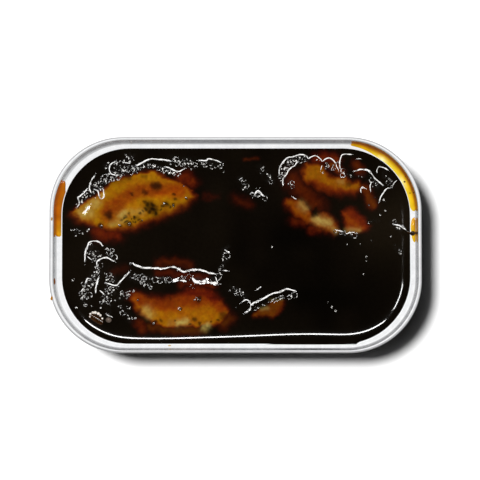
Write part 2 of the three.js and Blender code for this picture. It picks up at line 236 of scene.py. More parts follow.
# ---------------------------------------------------------------- the drawn tin
# The body is one piece of aluminium, drawn deep, with a recessed base on a standing foot, a rounded heel and
# a slightly tapered wall with faint draw lines. Its upper edge stands inside the lid's rolled seam.
HALF_LENGTH, HALF_WIDTH, HEIGHT = (cad_high.x / MM, cad_high.y / MM, cad_high.z / MM)
CORNER_RADIUS = 20.5
CORNER_EASE = 0.56
CORNER_POINTS = 28
SHEET = 0.25
SEAM_FOOT = HEIGHT - 3.0
BODY_BASE = [(6.5, 0.9), (6.1, 0.85), (5.75, 0.1), (5.5, 0.0)]
BODY_HEEL = [(4.0, 0.0), (3.4, 0.06), (2.85, 0.3), (2.35, 0.7), (1.98, 1.2), (1.7, 1.8), (1.55, 2.3),
             (1.5, 2.8)]


def new_group(name, kinds):
    """A Geometry Nodes group with these inputs besides its geometry and material, and what it is given."""
    group = bpy.data.node_groups.new(name, "GeometryNodeTree")
    group.interface.new_socket("Geometry", in_out="OUTPUT", socket_type="NodeSocketGeometry")
    for label, kind in {"Geometry": "Geometry", **kinds, "Material": "Material"}.items():
        group.interface.new_socket(label, in_out="INPUT", socket_type="NodeSocket" + kind)
    return group, group.nodes.new("NodeGroupInput").outputs


def end_group(group, geometry, material):
    """Ends a group: millimetres become metres, instances real geometry, and the material is set."""
    metres = add_node(group, "GeometryNodeTransform", {"Geometry": geometry, "Scale": (MM, MM, MM)})
    real = add_node(group, "GeometryNodeRealizeInstances", {0: metres})
    dressed = add_node(group, "GeometryNodeSetMaterial", {"Geometry": real, "Material": material})
    group.links.new(dressed, group.nodes.new("NodeGroupOutput").inputs[0])
    return group


def rim_sweep_group():
    """Sweeps a section, drawn as inset and height, round the tin's outline. The corners open by the ease as
    the inset grows. The ends may be wider than the sides, and the opening off its middle."""
    tree, given = new_group("rim_sweep", {
        "Half Length": "Float", "Half Width": "Float", "Corner Radius": "Float", "Corner Ease": "Float",
        "Ends Wider": "Float", "Opening Drift": "Vector", "Corner Points": "Int"})

    def node(kind, inputs=None, **settings):
        return add_node(tree, kind, inputs, **settings)

    def vector(operation, *values):
        return node("ShaderNodeVectorMath", dict(enumerate(values)), operation=operation)

    def scaled(a, factor):
        return node("ShaderNodeVectorMath", {0: a, "Scale": factor}, operation="SCALE")

    def less(a, b):
        return math_of(tree, "SUBTRACT", a, b)

    def times(a, b):
        return math_of(tree, "MULTIPLY", a, b)

    def pair(x, y, z=0.0):
        return node("ShaderNodeCombineXYZ", {"X": x, "Y": y, "Z": z})

    def store(geometry, name):
        return node("GeometryNodeStoreNamedAttribute", {"Geometry": geometry, "Name": name,
                    "Value": node("GeometryNodeInputPosition")}, data_type="FLOAT_VECTOR", domain="POINT")

    def stored(name):
        return node("GeometryNodeInputNamedAttribute", {"Name": name}, data_type="FLOAT_VECTOR")

    half_length, half_width, radius = given["Half Length"], given["Half Width"], given["Corner Radius"]
    outline = node("GeometryNodeCurvePrimitiveQuadrilateral", {
        "Width": times(half_length, 2), "Height": times(half_width, 2)})
    outline = node("GeometryNodeFilletCurve", {
        "Curve": outline, "Radius": radius, "Count": given["Corner Points"]}, mode="POLY")
    section = store(node("GeometryNodeMeshToCurve", {"Mesh": given["Geometry"]}), "section_at")
    swept = node("GeometryNodeCurveToMesh", {"Curve": store(outline, "rim_at"), "Profile Curve": section})
    rim_at = stored("rim_at")
    section_at = node("ShaderNodeSeparateXYZ", {0: stored("section_at")}).node.outputs
    inset = section_at["X"]
    knee = pair(less(half_length, radius), less(half_width, radius), 1.0)
    held = vector("MAXIMUM", vector("MINIMUM", rim_at, knee), scaled(knee, -1.0))
    outward = vector("NORMALIZE", vector("SUBTRACT", rim_at, held))
    eased = times(inset, given["Corner Ease"])
    wider = times(inset, given["Ends Wider"])
    shrunk = pair(less(math_of(tree, "ADD", inset, wider), eased), less(less(inset, wider), eased))
    share = vector("DIVIDE", vector("SUBTRACT", knee, shrunk), knee)
    flat = vector("ADD", vector("MULTIPLY", held, share), scaled(outward, less(radius, eased)))
    flat = vector("ADD", flat, scaled(given["Opening Drift"], inset))
    place = vector("ADD", flat, pair(0.0, 0.0, section_at["Z"]))
    moved = node("GeometryNodeSetPosition", {"Geometry": swept, "Position": place})
    return end_group(tree, moved, given["Material"])


def finish_shell(mesh, sharp=40):
    """Closes open ends, turns all faces outwards and shades the mesh smooth but for its sharp edges."""
    edit = bmesh.new()
    edit.from_mesh(mesh)
    bmesh.ops.remove_doubles(edit, verts=edit.verts, dist=1e-7)
    bmesh.ops.holes_fill(edit, edges=[e for e in edit.edges if e.is_boundary], sides=0)
    bmesh.ops.recalc_face_normals(edit, faces=edit.faces)
    for face in edit.faces:
        face.smooth = True
    edit.to_mesh(mesh)
    edit.free()
    mesh.set_sharp_from_angle(angle=math.radians(sharp))


def grown_piece(name, receivers, points, edges, group, inputs, sharp=40, **numbers):
    """A piece that a group grows from points or lines, which may carry named numbers, as a plain mesh."""
    seed = bpy.data.meshes.new(name + "_seed")
    seed.from_pydata(points, edges, [])
    for label, values in numbers.items():
        seed.attributes.new(label, "FLOAT", "POINT").data.foreach_set("value", np.array(values, np.float32))
    draft = add_object(name + "_draft", seed)
    modifier = draft.modifiers.new(group.name, "NODES")
    modifier.node_group = group
    sockets = {item.name: item.identifier for item in group.interface.items_tree if item.in_out == "INPUT"}
    for label, value in inputs.items():
        modifier[sockets[label]] = value
    graph = bpy.context.evaluated_depsgraph_get()
    mesh = bpy.data.meshes.new_from_object(draft.evaluated_get(graph))
    bpy.data.objects.remove(draft)
    mesh.name = name
    finish_shell(mesh, sharp)
    piece = add_object(name, mesh)
    receivers.objects.link(piece)
    return piece


def rim_piece(name, section, closed, ends_wider=0.0, drift=(0.0, 0.0, 0.0)):
    """A piece of the tin from its section, a list of (inset, height)."""
    count = len(section)
    edges = [(i, (i + 1) % count) for i in range(count if closed else count - 1)]
    return grown_piece(name, lit_metal, [(inset, 0, rise) for inset, rise in section], edges, RIM_SWEEP, {
        "Half Length": HALF_LENGTH, "Half Width": HALF_WIDTH, "Corner Radius": CORNER_RADIUS,
        "Corner Ease": CORNER_EASE, "Ends Wider": ends_wider, "Opening Drift": drift,
        "Corner Points": CORNER_POINTS, "Material": aluminium})


def object_noise(tree, scale, detail, **more):
    """Noise in a piece's own coordinates. A scale of three values stretches it."""
    place = add_node(tree, "ShaderNodeTexCoord", output="Object")
    if isinstance(scale, tuple):
        place = add_node(tree, "ShaderNodeMapping", {"Vector": place, "Scale": scale})
        scale = 1.0
    inputs = {"Vector": place, "Scale": scale, "Detail": detail, **more}
    return add_node(tree, "ShaderNodeTexNoise", inputs, "Fac")


RIM_SWEEP = rim_sweep_group()

aluminium, tree, shader = new_material("drawn_aluminium")
grain = object_noise(tree, (60, 60, 2600), 4.0)
cloud = object_noise(tree, 90.0, 3.0)
draw_lines = object_noise(tree, (520, 520, 14), 3.0)
worn = mixed(tree, 0.6, cloud, draw_lines, "FLOAT")
feed(tree, shader, {
    "Metallic": 1.0,
    "Base Color": mixed(tree, worn, (0.70, 0.71, 0.73, 1), (1.0, 1.0, 1.0, 1)),
    "Roughness": mapped(tree, grain, 0.1, 0.18),
    "Normal": add_node(tree, "ShaderNodeBump", {"Strength": 0.02, "Distance": 0.0002, "Height": grain})})

flange = 2 * SHEET + 0.05
body_outside = BODY_BASE + BODY_HEEL + [(0.95, SEAM_FOOT - 0.6), (0.75, SEAM_FOOT - 0.25)]
body_outside += [(flange, SEAM_FOOT + 0.1), (flange, HEIGHT - flange)]
body_inside = [(inset + SHEET, rise + (SHEET if inset > 2 else 0)) for inset, rise in reversed(body_outside)]
tin_body = rim_piece("tin_body_drawn", body_outside + body_inside, False)
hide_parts("tin_body")
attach(tin_body, "root")

# ---------------------------------------------------------------- what is left of the lid
# The lid's rolled seam hooks over the body. Inside it a short wall turns through a fillet into the ledge,
# which ends at the score line where the panel was torn away by its ring.
SEAM_THICKNESS = 1.1
FILLET_INSET = 1.22
FILLET_RADIUS = 0.8
LEDGE_DEPTH = 2.05
LIP_INSET = 3.05
ENDS_WIDER = 0.08
OPENING_DRIFT = (0.17 / LIP_INSET, -0.21 / LIP_INSET, 0.0)


def section_arc(inset, rise, radius, start, end, steps):
    angles = [math.radians(start + (end - start) * i / steps) for i in range(steps + 1)]
    return [(inset + radius * math.cos(a), rise + radius * math.sin(a)) for a in angles]


crest = SEAM_THICKNESS / 2
crest_centre = HEIGHT - crest
ledge_top = HEIGHT - LEDGE_DEPTH
fillet_at = (FILLET_INSET + FILLET_RADIUS, ledge_top + FILLET_RADIUS)
lid_above = [(0.04, SEAM_FOOT), (0.0, SEAM_FOOT + 0.05)] + section_arc(crest, crest_centre, crest, 180, 0, 18)
lid_above += section_arc(*fillet_at, FILLET_RADIUS, 180, 270, 12)
lid_above += [(2.5, ledge_top - 0.005), (2.85, ledge_top - 0.02), (LIP_INSET, ledge_top - 0.06)]
lid_below = [(LIP_INSET, ledge_top - SHEET)] + section_arc(*fillet_at, FILLET_RADIUS + SHEET, 270, 180, 8)
lid_below += section_arc(crest, crest_centre, crest - SHEET, 0, 180, 12) + [(SHEET, SEAM_FOOT)]
lid_ring = rim_piece("lid_ring_rolled", lid_above + lid_below, True, ENDS_WIDER, OPENING_DRIFT)
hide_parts("lid_ring")
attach(lid_ring, "root")

# ---------------------------------------------------------------- the stuffed squid
# Four plump mantles lie on the tin's floor, blunt at the filled end and drawn to a point at the tail. Each is
# one closed body, and its back just comes up through the sauce.
CONTENTS_FOOT = 1.45
SAUCE_LEVEL = HEIGHT - 3.25
BACK_SWELL = 0.05
STATIONS = 240
BACK_SIDES = 180
BELLY_SIDES = 26
SQUID = [
    dict(name="squid_back_left", x=-28.2, y=12.2, length=42, width=24.5, heading=10, bow=1.0, top=1.5,
      blunt=3.6, point=2.8),
    dict(name="squid_back_right", x=26.2, y=11.6, length=38, width=23.5, heading=153, bow=0.0, top=2.6,
      blunt=3.6, point=3.0, trough=(3.4, 3.2, 0.62)),
    dict(name="squid_front_left", x=-16.6, y=-15.2, length=36, width=23.5, heading=180, bow=0.4, top=1.4,
      blunt=3.4, point=2.8),
    dict(name="squid_front_middle", x=17.6, y=-13.2, length=31, width=19, heading=25, bow=0.0, top=-0.6,
      blunt=3.0, point=2.4, fold=(-0.5, 3.0, 2.6, 0.5)),
]


def bell(distance, reach, power=2):
    return np.exp(-((np.abs(distance) / reach) ** power))


def body_shape(squid, u):
    """Height of the body's middle, and its girth at a place from -1 to 1 along it, a share of its widest."""
    power = np.where(u > 0, squid["blunt"], squid["point"])
    return (CONTENTS_FOOT + SAUCE_LEVEL + squid["top"]) / 2, np.sqrt(np.clip(1 - np.abs(u) ** power, 0, 1))


def squid_back(squid, u, across):
    """Height of the back at a place along the body, from -1 to 1, and across it in millimetres."""
    middle, girth = body_shape(squid, u)
    side = across / np.maximum(squid["width"] / 2 * girth, 1e-6)
    rise = (SAUCE_LEVEL + squid["top"] - middle) * girth * np.sqrt(np.clip(1 - side ** 2, 0, 1))
    if "trough" in squid:
        depth, half_width, reach = squid["trough"]
        rise = rise - depth * bell(across, half_width) * bell(u, reach, 4)
    if "fold" in squid:
        at, fold_height, half_width, reach = squid["fold"]
        rise = rise + fold_height * bell(across, half_width) * bell(u - at, reach)
    above = middle + rise - SAUCE_LEVEL
    back = SAUCE_LEVEL + np.where(above > 0, above * BACK_SWELL, above)
    return np.where(np.abs(side) < 1, back, -np.inf)


def along_and_across(squid, x, y):
    heading = math.radians(squid["heading"])
    dx, dy = x - squid["x"], y - squid["y"]
    u = np.clip((dx * math.cos(heading) + dy * math.sin(heading)) / (squid["length"] / 2), -1, 1)
    return u, dy * math.cos(heading) - dx * math.sin(heading) - squid["bow"] * (1 - 2 * u ** 2)


def squid_rings(squid):
    """The whole body as rings along it, finer over the back."""
    heading = math.radians(squid["heading"])
    u = -np.cos(np.pi * np.arange(1, STATIONS) / STATIONS)[:, None]
    turn = np.concatenate([np.arange(BACK_SIDES) / BACK_SIDES, 1 + np.arange(BELLY_SIDES) / BELLY_SIDES])
    middle, girth = body_shape(squid, u)
    across = squid["width"] / 2 * girth * np.cos(np.pi * turn)
    belly = middle + (middle - CONTENTS_FOOT) * girth * np.sin(np.pi * turn)
    back = squid_back(squid, u + 0 * across, across * 0.99999)
    z = np.maximum(np.where(turn < 1, back, belly), CONTENTS_FOOT)
    forward, sideways = squid["length"] / 2 * u, across + squid["bow"] * (1 - 2 * u ** 2)
    x = squid["x"] + forward * math.cos(heading) - sideways * math.sin(heading)
    y = squid["y"] + forward * math.sin(heading) + sideways * math.cos(heading)
    return np.stack([x, y, z], -1)


def ring_sides(count, sides):
    """The faces between neighbouring rings of points."""
    steps = [(k, (k + 1) % sides) for k in range(sides)]
    return [(at + k, at + n, at + sides + n, at + sides + k)
            for at in range(0, (count - 1) * sides, sides) for k, n in steps]


def closed_rings(rings, tips=None):
    """Points and faces of a body made of rings, its ends closed to tips or to the end rings' middles."""
    rings = np.array(rings)
    count, sides = rings.shape[:2]
    tips = rings[[0, -1]].mean(1) if tips is None else tips
    faces = ring_sides(count, sides)
    for k in range(sides):
        n = (k + 1) % sides
        faces.append((count * sides, n, k))
        faces.append((count * sides + 1, (count - 1) * sides + k, (count - 1) * sides + n))
    return np.vstack([rings.reshape(-1, 3), tips]), faces


# ---------------------------------------------------------------- what shows through the film of sauce
# The flesh is ivory, and is seen through a film of oily ink: yellow where the film is thinnest, then orange,
# red and black. Each bare back is an outline of film that is thin inside and deepens past its edge.
BACKS = [
    # outline, film inside, softness of the north and of the south edge, brightness
    ([(-46.2, 9.4), (-44.6, 10.6), (-42.5, 11.8), (-40.2, 13.1), (-37.1, 15.6), (-34.4, 17.9),
      (-31.8, 19.1), (-28.8, 20.1), (-25.1, 20.8), (-22.6, 20.5), (-20.5, 19.5), (-18.3, 18.6),
      (-16.4, 17.9), (-14.4, 17.0), (-12.6, 15.4), (-11.6, 13.8), (-14.2, 11.5), (-18.0, 9.1),
      (-21.8, 7.7), (-24.5, 6.7), (-28.8, 5.1), (-32.0, 4.3), (-35.2, 4.2), (-38.4, 5.1), (-41.0, 6.3),
      (-44.2, 7.2)], 0.21, 0.7, 1.6, 1.05),
    ([(19.4, 22.8), (22.0, 23.2), (24.2, 22.4), (25.2, 20.6), (27.4, 19.4), (30.9, 18.9), (32.8, 17.8),
      (34.8, 18.2), (35.5, 16.4), (33.2, 14.3), (28.6, 14.5), (24.4, 15.4), (21.4, 16.9), (19.4, 18.6),
      (18.8, 21.0)], 0.3, 0.9, 1.3, 0.87),
    ([(14.4, 12.9), (16.8, 12.6), (19.2, 11.9), (20.8, 10.0), (22.8, 8.4), (25.0, 9.2), (26.8, 8.1),
      (28.3, 6.6), (28.9, 4.6), (27.6, 3.4), (25.6, 3.8), (23.0, 4.9), (20.0, 6.5), (17.4, 8.2),
      (15.6, 9.5), (13.8, 11.4)], 0.46, 0.9, 1.2, 0.85),
    ([(29.9, 9.4), (31.9, 10.3), (33.9, 9.6), (36.2, 7.4), (37.4, 5.8), (36.2, 4.2), (33.8, 3.6),
      (31.6, 4.2), (30.6, 6.4)], 0.68, 0.9, 0.9, 1.05),
    ([(-29.8, -13.8), (-28.2, -13.1), (-26.6, -13.5), (-24.6, -14.4), (-20.0, -14.7), (-17.0, -14.0),
      (-15.0, -12.8), (-12.8, -11.8), (-9.0, -11.8), (-6.4, -13.0), (-4.8, -14.8), (-3.0, -17.2),
      (-2.2, -19.0), (-3.6, -20.8), (-5.6, -22.2), (-10.0, -22.7), (-14.4, -22.9), (-18.7, -22.8),
      (-21.8, -22.3), (-24.3, -20.6), (-26.6, -18.9), (-28.5, -16.9),
      (-29.8, -15.2)], 0.27, 1.1, 0.8, 1.05),
    ([(4.6, -19.3), (6.3, -18.1), (8.3, -17.2), (10.8, -15.8), (13.6, -15.3), (13.6, -16.5), (12.8, -18.4),
      (10.5, -20.0), (7.4, -20.1), (5.2, -20.0)], 0.45, 0.5, 0.8, 0.45),
]
GLIMPSES = [
    # flesh that only glows through: line, half-width, film and haze at its middle
    ([(-38.4, 3.8), (-36.6, 2.9), (-33.4, 2.8)], 1.7, 1.15, 0.2),
    ([(-15.5, 18.6), (-13.9, 19.2), (-12.5, 17.8)], 1.7, 0.95, 0.35),
    ([(-8.3, 13.6), (-5.8, 13.7)], 1.1, 1.6, 1.4),
    ([(16.5, 18.5), (18.5, 15.5), (20.4, 13.4), (22.6, 11.2)], 2.6, 0.95, 0.9),
    ([(22.8, 24.3), (25.4, 25.0), (27.9, 24.2)], 1.4, 1.05, 0.25),
    ([(27.4, 22.6), (29.9, 20.4)], 1.1, 0.6, 0.5),
    ([(33.8, 22.6), (35.0, 21.0)], 1.2, 0.9, 0.9),
    ([(36.0, 16.2), (37.2, 13.8), (38.4, 11.4)], 1.3, 0.6, 0.75),
    ([(16.2, 7.0), (18.8, 6.4)], 1.3, 0.95, 0.8),
    ([(21.0, 4.5), (23.4, 4.3)], 1.2, 1.1, 0.6),
    ([(-21.7, -4.9), (-17.2, -4.6), (-12.8, -5.4)], 1.2, 0.95, 1.15),
    ([(-21.7, -7.6), (-15.0, -8.4), (-8.5, -9.2)], 1.1, 1.2, 0.9),
    ([(-15.0, -11.0), (-6.5, -11.4)], 1.2, 1.05, 0.75),
    ([(-34.0, -7.5), (-31.0, -6.5)], 1.2, 1.1, 1.9),
    ([(-27.0, -21.8), (-26.2, -23.4)], 1.3, 0.9, 0.8),
    ([(-24.0, -22.8), (-20.9, -23.2), (-15.0, -23.8), (-9.0, -23.6)], 1.3, 0.5, 1.4),
    ([(-3.5, -21.8), (-1.8, -20.5)], 1.6, 0.6, 1.2),
    ([(0.0, 13.2), (4.0, 11.5)], 1.3, 1.2, 1.3),
    ([(2.5, 24.5), (6.0, 24.5)], 0.5, 0.9, 1.6),
]
DEEPER = [
    # line along which the film is deeper, half-width, extra film
    ([(-35.6, 8.8), (-34.2, 11.0), (-32.2, 12.9), (-30.2, 14.2), (-27.0, 15.2), (-23.2, 15.7),
      (-19.1, 15.5), (-15.6, 15.4)], 1.9, 0.36),
    ([(21.7, 17.2), (25.1, 15.9), (29.3, 15.0), (32.4, 14.9)], 1.0, 0.5),
    ([(-25.0, -15.2), (-20.0, -15.8), (-15.0, -15.4), (-11.0, -14.4), (-6.5, -14.6),
      (-4.2, -16.6)], 2.5, 0.46),
    ([(-14.5, -12.6), (-9.0, -12.7), (-5.6, -14.4)], 1.5, 0.7),
    ([(-29.8, -14.2), (-27.6, -15.0)], 1.3, 0.35),
    ([(31.6, 9.6), (34.4, 8.4), (36.4, 6.6)], 1.2, 0.4),
    ([(11.8, -19.6), (13.4, -17.4)], 1.2, 0.4),
]
BRIGHTER = [
    # line along which the flesh is brighter or duller, half-width, how much
    ([(-22.0, 14.2), (-16.5, 15.0)], 1.6, 0.35),
    ([(-30.0, 11.5), (-27.5, 10.0)], 1.5, 0.2),
    ([(-24.0, 7.4), (-17.0, 9.6), (-13.2, 12.0)], 1.5, -0.2),
    ([(-36.0, 17.0), (-32.0, 18.4)], 1.0, -0.35),
    ([(-24.0, -15.0), (-17.0, -15.4)], 1.3, -0.2),
    ([(-22.0, -19.3), (-8.0, -19.5)], 1.3, 0.1),
]
MILKY_AND_GLINT = [
    # ivory showing almost bare, and one painted highlight: line, half-width, how bare
    ([(-43.2, 9.0), (-40.6, 9.3)], 1.2, 0.4),
    # painted highlight: the bright glint near the left squid's tail, painted as bare ivory
    ([(-42.4, 9.0), (-41.2, 10.8)], 0.6, 0.9),
    ([(-39.8, 11.3), (-38.8, 11.9)], 1.2, 0.4),
    ([(-37.3, 13.6), (-36.7, 14.2)], 0.6, 0.6),
    ([(-32.2, 8.5), (-31.2, 9.4)], 0.85, 0.5),
    ([(-29.3, 9.6), (-26.5, 9.4)], 0.9, 0.22),
    ([(-34.6, 6.2), (-31.8, 7.1)], 0.9, 0.3),
    ([(18.2, 11.4), (19.2, 10.8)], 1.1, 0.3),
    ([(22.6, 7.2), (25.8, 6.4)], 1.2, 0.6),
    ([(27.2, 4.8), (28.4, 4.2)], 0.9, 0.3),
    ([(31.0, 4.4), (34.6, 4.3)], 0.8, 0.3),
    ([(29.2, 17.9), (30.2, 17.9)], 0.7, 0.2),
    ([(-25.0, -18.4), (-24.2, -19.4)], 1.3, 0.42),
    ([(-15.8, -21.7), (-14.2, -21.5)], 1.0, 0.7),
    ([(-8.6, -23.4), (-7.6, -22.6)], 0.9, 0.85),
    ([(-18.4, -21.7), (-17.8, -21.7)], 0.8, 0.12),
    ([(9.6, -15.0), (12.8, -14.9)], 0.6, 0.45),
    ([(7.6, -17.5), (8.4, -17.6)], 0.7, 0.25),
]
SPOTS = [
    # skin spots and specks of ink: x, y, radius, how dark
    (-22.1, 16.5, 1.35, 2.0), (-28.8, 14.4, 0.55, 1.2), (-25.7, 15.0, 0.8, 1.1), (-17.3, 14.1, 0.5, 1.3),
    (-25.6, 19.3, 0.8, 0.6), (-30.1, 19.3, 0.9, 1.0), (-35.5, 8.5, 1.2, 1.8), (-23.7, 10.7, 1.5, 1.6),
    (-24.6, 11.4, 0.5, 1.5), (-23.2, 10.2, 0.6, 1.6), (-22.3, 9.6, 1.2, 1.3), (-22.0, 9.2, 0.45, 1.5),
    (-19.4, 11.5, 0.8, 1.0), (-19.8, 11.9, 0.3, 1.6), (-20.7, 11.0, 0.45, 1.5), (-17.5, 11.2, 0.5, 1.5),
    (-25.3, 12.0, 0.45, 1.4), (-13.8, 13.2, 0.5, 1.2), (-17.0, 12.8, 0.45, 1.0), (-29.9, 6.0, 0.8, 1.8),
    (-32.0, 5.6, 0.6, 1.2), (-28.0, 8.0, 0.6, 1.4), (-31.2, 8.3, 0.5, 1.3), (-26.4, 6.9, 0.4, 1.2),
    (-28.6, 6.9, 0.3, 1.4), (-27.2, 7.3, 0.3, 1.5), (-31.9, 7.4, 0.35, 1.2), (-30.2, 8.9, 0.3, 1.2),
    (-37.6, 5.3, 0.7, 1.6), (32.0, 17.3, 0.7, 0.8), (22.3, 9.3, 1.2, 2.4), (-10.4, -15.1, 0.9, 1.6),
    (-15.5, -17.9, 0.4, 1.6), (-27.4, -15.1, 0.35, 1.2), (-22.8, -21.7, 0.5, 1.4), (-11.6, -20.7, 0.7, 1.2),
    (-10.2, -21.8, 0.6, 1.4), (-3.8, -19.8, 1.1, 1.0), (-18.2, -14.9, 0.6, 0.6), (-21.2, -21.0, 0.5, 1.0),
    (-31.5, 8.0, 0.3, 1.7), (-30.7, 6.9, 0.35, 1.8), (-29.3, 7.7, 0.3, 1.7), (-28.2, 8.3, 0.35, 1.8),
    (-27.0, 8.8, 0.3, 1.7), (-27.9, 6.9, 0.3, 1.7), (-32.4, 5.5, 0.3, 1.8), (-20.0, 10.8, 0.35, 1.7),
    (-19.5, 11.6, 0.4, 1.8), (-18.6, 10.8, 0.35, 1.7), (-17.5, 11.4, 0.3, 1.7), (-20.6, 10.0, 0.35, 1.8),
    (-25.2, 10.2, 0.5, 1.8), (-24.2, 9.4, 0.45, 1.7), (-23.0, 11.4, 0.4, 1.7), (-26.2, 9.6, 0.35, 1.5),
    (-12.9, -22.3, 0.3, 1.4), (-17.0, -20.9, 0.3, 1.2), (-6.6, -21.2, 0.35, 1.2), (-5.0, -20.9, 0.3, 1.4),
]
SAUCE_TONES = [
    # where the sauce is paler or blacker: x, y, reach, how much
    (44.0, 6.0, 11.0, 1.1), (14.0, -3.0, 15.0, -0.55), (-44.0, 0.0, 14.0, 0.3), (32.0, -20.0, 14.0, -0.35),
]
DEEP = 9.0
WANDER = 0.45
NOISE_HALF = (65, 45)
BACK_FILM = 0.4
BACK_HAZE = 0.55
GLIMPSE_FILM = 0.5
GLIMPSE_HAZE = 0.7
FLESH_LIGHT = 0.57
FILM_TINTS = [
    # red, green and blue of the flesh: shares of its light, and how fast the film takes each away
    [(0.5, 1.0)], [(0.26, 7.0), (0.156, 2.2)], [(0.2, 40.0), (0.0008, 0.0)],
]
MILK = (0.37, 0.28, 0.07)
MURK = (0.0036, 0.0024, 0.0013)


def distance_to_line(x, y, points):
    best = np.full(np.shape(x), np.inf)
    for (ax, ay), (bx, by) in zip(points[:-1], points[1:]):
        length = (bx - ax) ** 2 + (by - ay) ** 2
        share = np.clip(((x - ax) * (bx - ax) + (y - ay) * (by - ay)) / length, 0, 1)
        best = np.minimum(best, np.hypot(x - ax - share * (bx - ax), y - ay - share * (by - ay)))
    return best


def depth_inside(x, y, outline):
    """Distance inside a closed outline, negative outside it, and how far north its nearest edge faces."""
    nearest = np.full(np.shape(x), np.inf)
    north = np.zeros(np.shape(x))
    inside = np.zeros(np.shape(x), bool)
    for (ax, ay), (bx, by) in zip(outline, outline[1:] + outline[:1]):
        length = (bx - ax) ** 2 + (by - ay) ** 2
        share = np.clip(((x - ax) * (bx - ax) + (y - ay) * (by - ay)) / length, 0, 1)
        gap_x, gap_y = ax + share * (bx - ax) - x, ay + share * (by - ay) - y
        gap = np.hypot(gap_x, gap_y)
        closer = gap < nearest
        nearest = np.where(closer, gap, nearest)
        north = np.where(closer, gap_y / np.maximum(gap, 1e-6), north)
        if ay != by:
            crossing = ax + (y - ay) / (by - ay) * (bx - ax)
            inside ^= ((ay > y) != (by > y)) & (x < crossing)
    return np.where(inside, nearest, -nearest), np.where(inside, north, -north)


def mottle(x, y, cell, seed):
    """Smooth noise between -1 and 1, from a seeded lattice with that spacing."""
    steps_x, steps_y = (int(2 * half / cell) + 2 for half in NOISE_HALF)
    lattice = np.random.default_rng(seed).uniform(-1, 1, (steps_y, steps_x))
    gx, gy = (x + NOISE_HALF[0]) / cell, (y + NOISE_HALF[1]) / cell
    ix, iy = gx.astype(int), gy.astype(int)
    fx, fy = gx - ix, gy - iy
    fx, fy = fx * fx * (3 - 2 * fx), fy * fy * (3 - 2 * fy)
    low = lattice[iy, ix] * (1 - fx) + lattice[iy, ix + 1] * fx
    high = lattice[iy + 1, ix] * (1 - fx) + lattice[iy + 1, ix + 1] * fx
    return low * (1 - fy) + high * fy


def film_colour(x, y):
    """Linear colour of what lies at a place, through the sauce over it, with one painted highlight."""
    sx = x + WANDER * mottle(x, y, 1.6, 1) + WANDER / 3 * mottle(x, y, 0.5, 6)
    sy = y + WANDER * mottle(x, y, 1.6, 2) + WANDER / 3 * mottle(x, y, 0.5, 7)
    film = np.full(np.shape(x), DEEP)
    haze = np.full(np.shape(x), DEEP)
    gain = np.ones(np.shape(x))
    for outline, thinnest, soft_north, soft_south, brightness in BACKS:
        depth, north = depth_inside(sx, sy, outline)
        soft = soft_south + (soft_north - soft_south) * (0.5 + 0.5 * north)
        lack = (np.clip(soft - depth, 0, None) / soft) ** 2
        better = thinnest + lack < film + haze
        film = np.where(better, thinnest + BACK_FILM * lack, film)
        haze = np.where(better, BACK_HAZE * lack, haze)
        gain = np.where(better, brightness, gain)
    for points, half_width, thinnest, thin_haze in GLIMPSES:
        lack = (distance_to_line(sx, sy, points) / half_width) ** 2
        better = thinnest + thin_haze + (GLIMPSE_FILM + GLIMPSE_HAZE) * lack < film + haze
        film = np.where(better, thinnest + GLIMPSE_FILM * lack, film)
        haze = np.where(better, thin_haze + GLIMPSE_HAZE * lack, haze)
        gain = np.where(better, 1.0, gain)
    for points, half_width, extra in DEEPER:
        film = film + extra * bell(distance_to_line(sx, sy, points), half_width, 3)
    for points, half_width, extra in BRIGHTER:
        gain = gain * (1 + extra * bell(distance_to_line(sx, sy, points), half_width))
    film = film * np.exp(0.2 * mottle(x, y, 1.3, 3) + 0.1 * mottle(x, y, 0.4, 4))
    haze = haze + 0.12 * mottle(x, y, 0.7, 8)
    for spot_x, spot_y, radius, dark in SPOTS:
        haze = haze + dark * bell(np.hypot(sx - spot_x, sy - spot_y), radius, 3)
    light = FLESH_LIGHT * gain * np.exp(-haze)
    tints = [light * sum(part * np.exp(-loss * film) for part, loss in tint) for tint in FILM_TINTS]
    flesh = np.stack(tints, -1)
    # Bare ivory, and one painted highlight, mix in as milk.
    bare = np.zeros(np.shape(x))
    for points, half_width, share in MILKY_AND_GLINT:
        bare = np.maximum(bare, share * bell(distance_to_line(sx, sy, points), half_width))
    bare = (bare * (1 + 0.3 * mottle(x, y, 0.6, 9)) * np.exp(-0.5 * haze))[..., None]
    flesh = flesh * (1 - bare) + np.array(MILK) * bare
    tone = 1 + 0.25 * mottle(x, y, 6.0, 5)
    for tone_x, tone_y, reach, share in SAUCE_TONES:
        tone = tone + share * bell(np.hypot(x - tone_x, y - tone_y), reach)
    return flesh + tone[..., None] * np.array(MURK)


def set_film(mesh, colours):
    rgba = np.ones((len(mesh.vertices), 4), np.float32)
    rgba[:, :3] = colours
    mesh.color_attributes.new("film", "FLOAT_COLOR", "POINT").data.foreach_set("color", rgba.ravel())


def film_paint(tree, noise, low, high):
    """The film's colour on the mesh, shaded between low and high by a noise."""
    film = add_node(tree, "ShaderNodeVertexColor", output="Color", layer_name="film")
    shade = mapped(tree, noise, low, high, 0.3, 0.7)
    return add_node(tree, "ShaderNodeVectorMath", {0: film, "Scale": shade}, operation="SCALE")


def wet_piece(name, points, faces, colours, material, sharp=40):
    """A closed piece of food or oil, with the colour of its film at each point."""
    mesh = bpy.data.meshes.new(name)
    mesh.from_pydata((np.array(points) * MM).tolist(), [], faces)
    set_film(mesh, colours)
    finish_shell(mesh, sharp)
    mesh.materials.append(material)
    piece = add_object(name, mesh)
    lit_liquid.objects.link(piece)
    return piece


wet, tree, shader = new_material("ink_sauce_and_flesh")
fibres = object_noise(tree, 1100.0, 4.0, Roughness=0.65)
feed(tree, shader, {
    "Base Color": film_paint(tree, fibres, 0.88, 1.12),
    "Roughness": mapped(tree, fibres, 0.04, 0.085),
    "IOR": 1.42})

